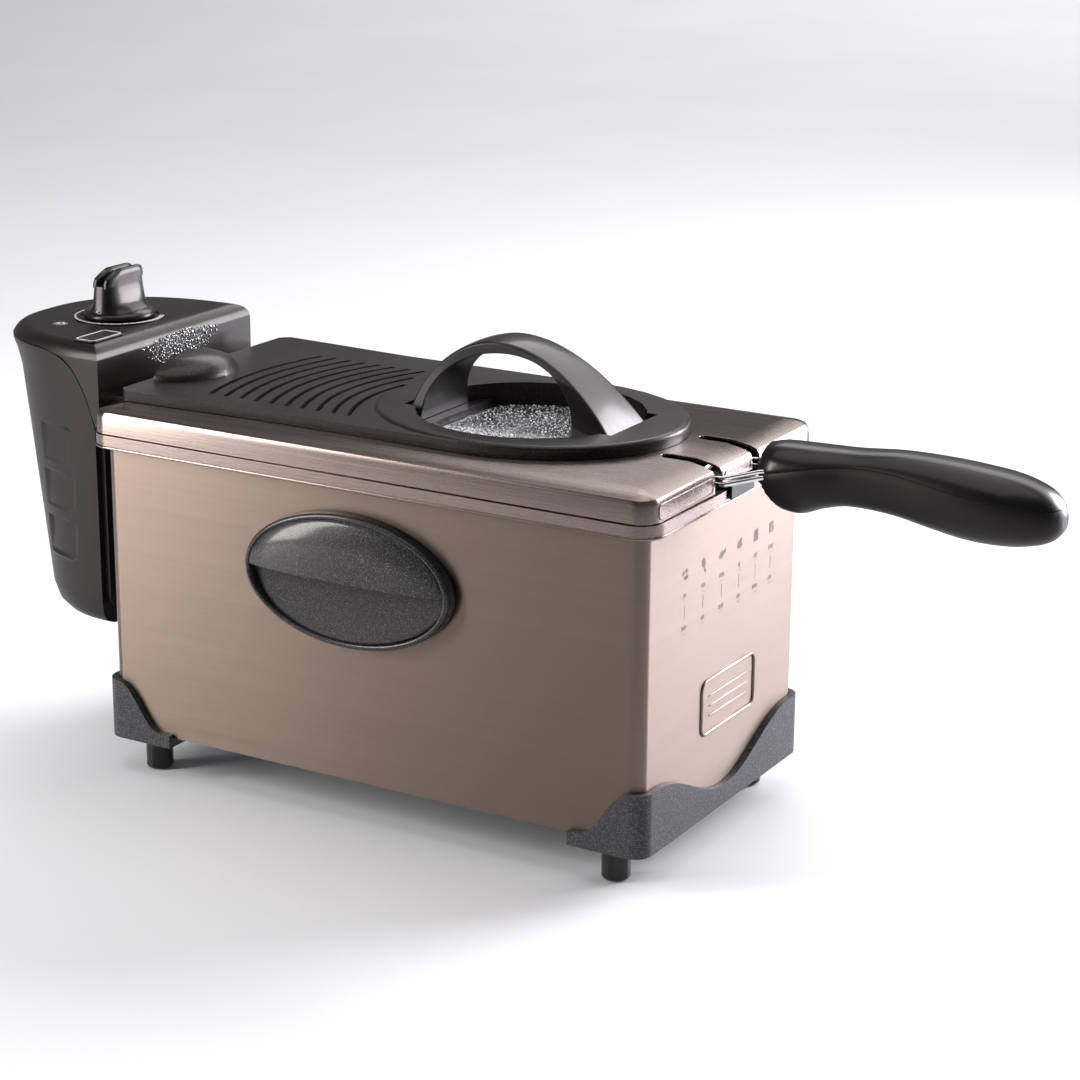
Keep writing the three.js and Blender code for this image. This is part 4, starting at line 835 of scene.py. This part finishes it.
def rounded_section(thick, half, r_in, r_out, crown, steps=5):
    """Points (along the thickness, across) of the bridge's section, each corner rounded."""
    corners = [(0, -half, r_in, 1), (thick, -half, r_out, 2), (thick, half, r_out, 3), (0, half, r_in, 0)]
    points = []
    for t, w, r, quarter in corners:
        r = min(r, thick * 0.42)
        ct, cw = t + (r if t == 0 else -r), w + (r if w < 0 else -r)
        start = {1: math.pi, 2: 1.5 * math.pi, 3: 0.0, 0: 0.5 * math.pi}[quarter]
        for k in range(steps + 1):
            a = start + math.pi / 2 * k / steps
            points.append((ct + r * math.cos(a), cw + r * math.sin(a)))
        if quarter == 2:
            for u in (2 * j / 6 - 1 for j in range(1, 6)):
                points.append((thick + crown * (1 - u ** 2), (half - r) * u))
    return points


def lid_handle():
    rings = []
    for i in range(ARCH_STEPS + 1):
        inner, outer, half = arch_station(math.pi * i / ARCH_STEPS)
        span = outer - inner
        along = span.normalized()
        ring = []
        for t, w in rounded_section(span.length, half, 0.7, 2.1, 0.9):
            p = inner + along * t
            ring.append(at(p.x, w, ARCH_BASE + max(p.y, 0)))
        rings.append(ring)
    bm = skin(rings)
    bmesh.ops.remove_doubles(bm, verts=bm.verts, dist=1e-6)
    mesh = finish_mesh(bm, "lid-handle")
    mesh.set_sharp_from_angle(angle=math.radians(40))
    soften(keep("lid-handle", mesh, ["arch", "arch_face"], "lid", ["lid_handle"]), 0)
    for face in mesh.polygons:
        face.material_index = 1 if abs(face.normal.y) > 0.93 else 0


lid_handle()
rebuild("window_gasket", "gasket", "lid", 0.0002)
rebuild("window_glass", "glass", "lid", 0.0002)
# The steam filter gets the dark base plastic so that the vents read dark from every side: painted shade in
# the vents.
rebuild("steam_filter", "base", "lid", 0.0002)
for node in [f"cover_screw_{i}" for i in range(1, 5)] + ["handle_screw_1", "handle_screw_2"]:
    fastener = rebuild(node, "screw", "lid", 0.0002)
    for vertex in fastener.data.vertices:
        vertex.co.z = min(vertex.co.z, (ARCH_BASE - 0.5) / 1000)

# ------------------------------------------------------------------ end wall: frame and cooking chart
END_X = 166.0
FRAME_Y, FRAME_Z, FRAME_HALF_Y, FRAME_HALF_Z, FRAME_CORNER, FRAME_BEAD = 7, 77.5, 30, 14.5, 4.5, 0.0011
FRAME_BARS, BAR_HALF = (-5.5, 0, 5.5), 22
CHART_COLUMNS, SIGN_Z, HEAT_Z, TIME_Z = (-44.5, -24.2, -3.6, 16.4, 35.6, 53.6), 156.4, 145.6, 128.6


def end_point(y, z, out=0.0):
    return at(END_X + out, y, z)


def end_frame():
    outline = rounded_path(FRAME_HALF_Y, FRAME_HALF_Z, FRAME_CORNER)
    bm = loop_pipe([end_point(FRAME_Y + a, FRAME_Z + b) for a, b in outline], FRAME_BEAD, 10)
    for shift in FRAME_BARS:
        line = [end_point(FRAME_Y - BAR_HALF + 2 * k, FRAME_Z + shift) for k in range(BAR_HALF + 1)]
        pipe(line, lambda t: 0.0006 * math.sin(math.pi * min(max(t, 0.02), 0.98)) ** 0.5 + 0.0001, 8, bm)
    keep("end-frame", finish_mesh(bm, "end-frame"), "housing", "housing", ())


def cooking_chart():
    """Six small food signs with dots and bars under them for the heat and the time."""
    bm = bmesh.new()
    thin = Vector((0.00008, 0, 0))

    def turned(a, b, turn):
        c, s = math.cos(turn), math.sin(turn)
        return a * c - b * s, a * s + b * c

    def disc(y, z, ry, rz, turn=0.0, count=18):
        points = []
        for t in (2 * math.pi * k / count for k in range(count)):
            a, b = turned(ry * math.cos(t), rz * math.sin(t), turn)
            points.append(end_point(y + a, z + b))
        slab(bm, points, thin)

    def bar(y, z, w, h, turn=0.0):
        corners = ((-w / 2, -h / 2), (w / 2, -h / 2), (w / 2, h / 2), (-w / 2, h / 2))
        places = [turned(a, b, turn) for a, b in corners]
        slab(bm, [end_point(y + a, z + b) for a, b in places], thin)

    def sign(kind, y, z):
        if kind == 0:
            for a, b in ((-1.6, 1.4), (1.5, 1.9), (0.1, -1.6), (2.0, -1.2)):
                disc(y + a, z + b, 1.35, 1.15)
        elif kind == 1:
            disc(y, z + 1.0, 2.1, 2.7, 0.3)
            bar(y + 1.2, z - 2.6, 0.9, 2.6, 0.5)
            disc(y + 1.8, z - 3.7, 0.9, 0.7)
        elif kind == 2:
            disc(y - 0.4, z, 3.0, 1.8, 0.4)
            slab(bm, [end_point(y + 2.0, z + 0.8), end_point(y + 4.0, z + 3.2), end_point(y + 4.2, z)], thin)
        elif kind == 3:
            disc(y, z, 2.8, 2.3)
            disc(y + 1.6, z + 2.4, 1.2, 0.9, 0.6)
        elif kind == 4:
            for k in range(4):
                bar(y - 2.1 + 1.4 * k, z + 0.3 * (k % 2), 0.95, 6.2)
        else:
            bar(y, z + 1.9, 5.2, 1.9)
            bar(y - 1.1, z - 1.1, 2.4, 3.4)
            bar(y + 1.7, z - 1.1, 1.8, 3.4)

    for kind, y in enumerate(CHART_COLUMNS):
        sign(kind, y, SIGN_Z)
        for z, count in ((HEAT_Z, 2 + kind % 3), (TIME_Z, 3 + (kind + 1) % 2)):
            for k in range(count):
                bar(y + (k - (count - 1) / 2) * 1.5, z, 0.75, 2.6 - 0.5 * ((k + kind) % 2))
            bar(y, z - 3.0, 3.4, 0.35)
        bar(y, (HEAT_Z + TIME_Z) / 2 - 0.1, 0.25, 7.0)
    keep("cooking-chart", finish_mesh(bm, "cooking-chart", False), "grey_print", "housing", ())


end_frame()
cooking_chart()


LID_END_X, LID_LEAN, LID_LEAN_FROM, PANEL_TOP, LID_BEAD = 171.72, 0.03, 194.3, 203.2, 0.00042
LID_PANELS = ((-84, -27.5, 195.9), (-14.6, 14.6, 199.2), (27.5, 84, 195.9))
POT_RIM_Z, POT_RIM_X, POT_RIM_Y, POT_RIM_CORNER, POT_RIM_BEAD = 187.5, 173.2, 94.7, 14.2, 0.0008


def lid_end_beads():
    """Rolled beads round the three panels of the lid's end wall."""
    bm = bmesh.new()
    for y0, y1, z0 in LID_PANELS:
        mid, half = (y0 + y1) / 2, (y1 - y0) / 2
        zm, zh = (z0 + PANEL_TOP) / 2, (PANEL_TOP - z0) / 2
        outline = rounded_path(half, zh, min(2.2, zh * 0.9))
        loop = [at(LID_END_X - LID_LEAN * (zm + b - LID_LEAN_FROM), mid + a, zm + b) for a, b in outline]
        pour(loop_pipe(loop, LID_BEAD, 8), bm)
    keep("lid-end-beads", finish_mesh(bm, "lid-end-beads"), "lid", "lid", ())


def pot_rim_bead():
    """The rolled lower edge of the pot's rim."""
    loop = [at(a, b, POT_RIM_Z) for a, b in rounded_path(POT_RIM_X, POT_RIM_Y, POT_RIM_CORNER, 10)]
    mesh = finish_mesh(loop_pipe(loop, POT_RIM_BEAD, 10), "pot-rim-bead")
    keep("pot-rim-bead", mesh, "lid", "pot", ())


lid_end_beads()
pot_rim_bead()


# ------------------------------------------------------------------ condensation
DROP_SIDES, CELL = 8, 2.4


def drops(name, body, places, normal):
    """Small domes of water, each at (point, radius), all in one mesh."""
    bm = bmesh.new()
    side = normal.orthogonal().normalized()
    other = normal.cross(side)
    for p, r in places:
        stretch = 0.8 + 0.4 * rng.random()
        rings = []
        for rise, wide in ((-0.1, 1.0), (0.28, 0.86), (0.5, 0.5)):
            spokes = [side * math.cos(a) * stretch + other * math.sin(a)
                      for a in (2 * math.pi * k / DROP_SIDES for k in range(DROP_SIDES))]
            rings.append([bm.verts.new(p + normal * r * rise + spoke * r * wide) for spoke in spokes])
        top = bm.verts.new(p + normal * r * 0.58)
        bm.faces.new(rings[0][::-1])
        for lower, upper in zip(rings, rings[1:]):
            for i in range(DROP_SIDES):
                j = (i + 1) % DROP_SIDES
                bm.faces.new((lower[i], lower[j], upper[j], upper[i]))
        for i in range(DROP_SIDES):
            bm.faces.new((rings[-1][i], rings[-1][(i + 1) % DROP_SIDES], top))
    keep(name, finish_mesh(bm, name), "water", body, ())


def scatter(count, inside, place, low, high, gap=0.9):
    """Random places that keep clear of each other."""
    cells, found = {}, []
    for _ in range(count * 12):
        if len(found) >= count:
            break
        u, v = rng.uniform(*inside[0]), rng.uniform(*inside[1])
        r = low + (high - low) * rng.random() ** 2
        spot = place(u, v)
        if spot is None:
            continue
        key = (int(u / CELL), int(v / CELL))
        near = [q for i in (-1, 0, 1) for j in (-1, 0, 1) for q in cells.get((key[0] + i, key[1] + j), [])]
        if any((u - a) ** 2 + (v - b) ** 2 < (gap * (r + c)) ** 2 for a, b, c in near):
            continue
        cells.setdefault(key, []).append((u, v, r))
        found.append((spot, r / 1000))
    return found


glass_low, glass_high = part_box("window_glass")


def on_glass(x, y):
    if ((x - 50) / 60) ** 2 + (y / 57) ** 2 > 1 or not 7 < x < 84:
        return None
    return at(x, y, glass_high.z * 1000)


def on_front(y, z):
    if z > 231 - abs(y - 6) * 0.12 or rng.random() > 1.25 - abs(y - 4) / 32 - (230 - z) / 32:
        return None
    return at(HEAD_FRONT + 0.05, y, z)


glass_drops = scatter(2100, ((4, 87), (-58, 58)), on_glass, 0.45, 1.05)
drops("window-drops", "lid", glass_drops, Vector((0, 0, 1)))
head_drops = scatter(480, ((-32, 38), (204, 233)), on_front, 0.4, 1.25)
drops("head-drops", "control_head", head_drops, Vector((1, 0, 0)))

# ------------------------------------------------------------------ floor, light and camera
def floor_material():
    m = Mat("floor_paper")
    m.set(Base_Color=m.ramp(m.noise(None, 3.0, 4.0), (0.3, (0.80, 0.80, 0.82)), (0.7, (0.83, 0.83, 0.85))),
          Roughness=m.level(m.noise(None, 40.0, 3.0), 0.42, 0.55), Specular_IOR_Level=0.35)
    return m.mat


floor_mesh = bpy.data.meshes.new("floor")
floor_mesh.from_pydata([(-12, -12, 0), (12, -12, 0), (12, 12, 0), (-12, 12, 0)], [], [(0, 1, 2, 3)])
floor = bpy.data.objects.new("floor", floor_mesh)
bpy.context.scene.collection.objects.link(floor)
floor_mesh.materials.append(floor_material())
floor.location.z = -0.0002

bpy.context.scene.view_settings.view_transform = "Standard"
bpy.context.scene.view_settings.look = "None"
world = bpy.data.worlds.new("studio")
bpy.context.scene.world = world
world.use_nodes = True
sky = world.node_tree
towards = sky.nodes.new("ShaderNodeSeparateXYZ")
sky.links.new(sky.nodes.new("ShaderNodeTexCoord").outputs["Generated"], towards.inputs[0])
depth = sky.nodes.new("ShaderNodeMapRange")
sky.links.new(towards.outputs[1], depth.inputs["Value"])
depth.inputs["From Min"].default_value, depth.inputs["From Max"].default_value = -1, 1
room = sky.nodes.new("ShaderNodeValToRGB")
sky.links.new(depth.outputs[0], room.inputs[0])
ROOM = [(0.0, (0.10, 0.10, 0.11)), (0.45, (0.16, 0.16, 0.17)), (0.70, (0.20, 0.195, 0.2)),
        (1.0, (0.15, 0.14, 0.14))]
while len(room.color_ramp.elements) < len(ROOM):
    room.color_ramp.elements.new(0.5)
for mark, (place, colour) in zip(room.color_ramp.elements, ROOM):
    mark.position, mark.color = place, (*colour, 1)
sky.links.new(room.outputs[0], sky.nodes["Background"].inputs["Color"])
sky.nodes["Background"].inputs["Strength"].default_value = 1.0


def softbox(name, place, aim, size, power, colour):
    data = bpy.data.lights.new(name, "AREA")
    data.shape, data.size, data.size_y = "RECTANGLE", size[0], size[1]
    data.energy, data.color = power, colour
    lamp = bpy.data.objects.new(name, data)
    lamp.location = place
    lamp.rotation_mode = "QUATERNION"
    lamp.rotation_quaternion = (Vector(aim) - Vector(place)).to_track_quat("-Z", "Y")
    bpy.context.scene.collection.objects.link(lamp)


# name, place, aim, size, watts, colour
LIGHTS = [
    ("window_left", (-1.06, -1.02, 0.62), (-0.12, -0.08, 0.12), (0.36, 1.1), 23, (1.0, 0.985, 0.965)),
    ("ceiling", (-0.2, 0.1, 2.5), (0, 0, 0), (2.6, 2.2), 31, (1.0, 1.0, 1.0)),
    ("ceiling_back", (0.0, 4.6, 3.4), (0, 4.4, 0), (6.0, 3.0), 215, (1.0, 1.0, 1.0)),
    ("window_right", (1.0, 1.5, 0.62), (0.16, 0, 0.1), (0.9, 1.1), 68, (0.94, 0.93, 1.0)),
]
for light in LIGHTS:
    softbox(*light)

TARGET, CAMERA_DISTANCE, LENS, SENSOR = Vector((0.0238, 0.0, 0.1454)), 1.4287, 89.48, 36.0
AZIMUTH, ELEVATION, ROLL = 30.37, 17.09, 0.36
azimuth, elevation, roll = (math.radians(angle) for angle in (AZIMUTH, ELEVATION, ROLL))
level = math.cos(elevation)
back = Vector((math.sin(azimuth) * level, -math.cos(azimuth) * level, math.sin(elevation)))
flat = Vector((math.cos(azimuth), math.sin(azimuth), 0))
rise = back.cross(flat)
right = flat * math.cos(roll) + rise * math.sin(roll)
up = rise * math.cos(roll) - flat * math.sin(roll)
camera = bpy.data.objects.new("camera", bpy.data.cameras.new("camera"))
camera.data.sensor_width, camera.data.lens = SENSOR, LENS
turn = Matrix((right, up, back)).transposed().to_4x4()
camera.matrix_world = Matrix.Translation(TARGET + back * CAMERA_DISTANCE) @ turn
camera.data.clip_start, camera.data.clip_end = 0.05, 60
bpy.context.scene.collection.objects.link(camera)
bpy.context.scene.camera = camera

bpy.context.view_layer.update()
